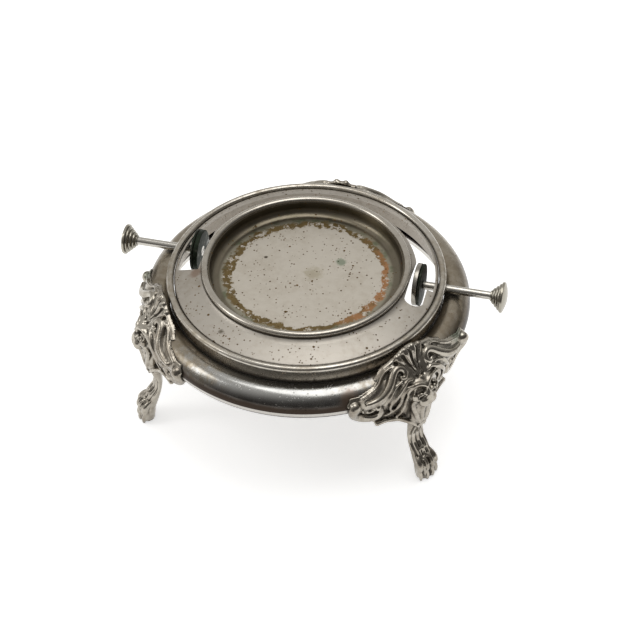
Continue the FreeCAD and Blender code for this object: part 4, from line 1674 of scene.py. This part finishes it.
    @staticmethod
    def turned(name: str) -> float:
        """How far a leg is turned round the ring from the right pin, in radians.

        Args:
            name: The leg's node.

        Returns:
            The angle.
        """
        sole = name.replace("leg", "paw") + "_sole"
        mount = next(mount for mount in frame["record"]["mounts"] if mount["name"] == sole)
        return math.atan2(mount["pos_m"][1], mount["pos_m"][0])


# Light and camera


@dataclass
class Studio:
    """The pale floor, the soft lamps and the camera."""

    lens: float = 112.5
    distance: float = 1.0259
    azimuth: float = 15.15
    elevation: float = 43.35
    roll: float = -1.388
    aim_across: float = -0.10047
    aim_up: float = 0.35904
    pale: Colour = (0.80, 0.79, 0.77)
    dark: Colour = (0.15, 0.145, 0.14)
    pale_side: Place = (-0.55, 0.55, 0.5)

    def build(self) -> None:
        """Set up floor, world, lamps and camera."""
        self.floor()
        self.world()
        self.lamp("over", (0.1, 0.1, 1.2), (0.9, 0.7), 4.5)
        self.lamp("beside", (-1.0, -0.3, 0.9), (0.4, 0.7), 2.5)
        self.camera()

    def floor(self) -> None:
        """A wide pale floor."""
        floor = primitive(bpy.ops.mesh.primitive_plane_add, size=8)
        floor.name = "floor"
        material = bpy.data.materials.new("pale_floor")
        floor.data.materials.append(material)
        graph = Graph(material)
        shade = graph.mix(graph.noise(3, 2), (0.86, 0.86, 0.86), (0.88, 0.88, 0.88))
        paper = graph.add("BsdfDiffuse", {"Color": shade}).outputs[0]
        rays = graph.add("LightPath").outputs
        seen = graph.number("MAXIMUM", rays["Is Camera Ray"], rays["Is Glossy Ray"])
        white = {"Color": (1, 1, 1, 1), "Strength": graph.times(seen, 0.6)}
        glow = graph.add("Emission", white).outputs[0]
        both = graph.add("AddShader", {0: paper, 1: glow}).outputs[0]
        graph.add("OutputMaterial", {"Surface": both})

    def world(self) -> None:
        """A quiet room, pale behind and above the stand and dark on the camera's side."""
        world = bpy.data.worlds.new("room")
        bpy.context.scene.world = world
        graph = Graph(world)
        way = graph.add("TexCoord").outputs["Generated"]
        sockets = {0: way, 1: Vector(self.pale_side).normalized()}
        towards = graph.add("VectorMath", sockets, operation="DOT_PRODUCT").outputs["Value"]
        tone = graph.mix(graph.ease(towards, -0.35, 0.75), self.dark, self.pale)
        light = graph.add("Background", {"Color": tone, "Strength": 0.9}).outputs[0]
        graph.add("OutputWorld", {"Surface": light})

    @staticmethod
    def lamp(name: str, place: Place, sides: Point, power: float) -> None:
        """A soft rectangular lamp aimed at the stand.

        Args:
            name: Its name.
            place: Where it stands, in metres.
            sides: Its width and height, in metres.
            power: Its power in watts.
        """
        data = bpy.data.lights.new(name, "AREA")
        data.shape = "RECTANGLE"
        data.size, data.size_y, data.energy = *sides, power
        lamp = bpy.data.objects.new(name, data)
        lamp.location = place
        aim = Vector((0, 0, 0.06)) - Vector(place)
        lamp.rotation_euler = aim.to_track_quat("-Z", "Y").to_euler()
        bpy.context.scene.collection.objects.link(lamp)

    def camera(self) -> None:
        """The camera, where the photo was taken from."""
        a, e, r = (math.radians(value) for value in (self.azimuth, self.elevation, self.roll))
        back = Vector((math.sin(a) * math.cos(e), -math.cos(a) * math.cos(e), math.sin(e)))
        right = Vector((math.cos(a), math.sin(a), 0))
        up = Vector((-math.sin(a) * math.sin(e), math.cos(a) * math.sin(e), math.cos(e)))
        across = math.cos(r) * right + math.sin(r) * up
        above = -math.sin(r) * right + math.cos(r) * up
        radius = (high("neck_collar").x - Stand.wall / 2) * MM
        crest = Vector((0, 0, high("top_bead").z * MM))
        spot = crest + back * self.distance - across * self.aim_across * radius - above * self.aim_up * radius
        data = bpy.data.cameras.new("camera")
        data.lens = self.lens
        data.clip_start = 0.05
        camera = bpy.data.objects.new("camera", data)
        turn_to = Matrix((across, above, back)).transposed()
        camera.matrix_world = Matrix.Translation(spot) @ turn_to.to_4x4()
        bpy.context.scene.collection.objects.link(camera)
        bpy.context.scene.camera = camera


def main() -> None:
    """Build the whole picture."""
    logging.basicConfig(level=logging.INFO, format="%(message)s")
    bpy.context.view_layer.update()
    Stand().build()
    for side in Side:
        Pin(side).build()
    Leg().build()
    Studio().build()
    scene = bpy.context.scene
    scene.view_settings.view_transform = "Standard"


if __name__ == "__main__":
    main()
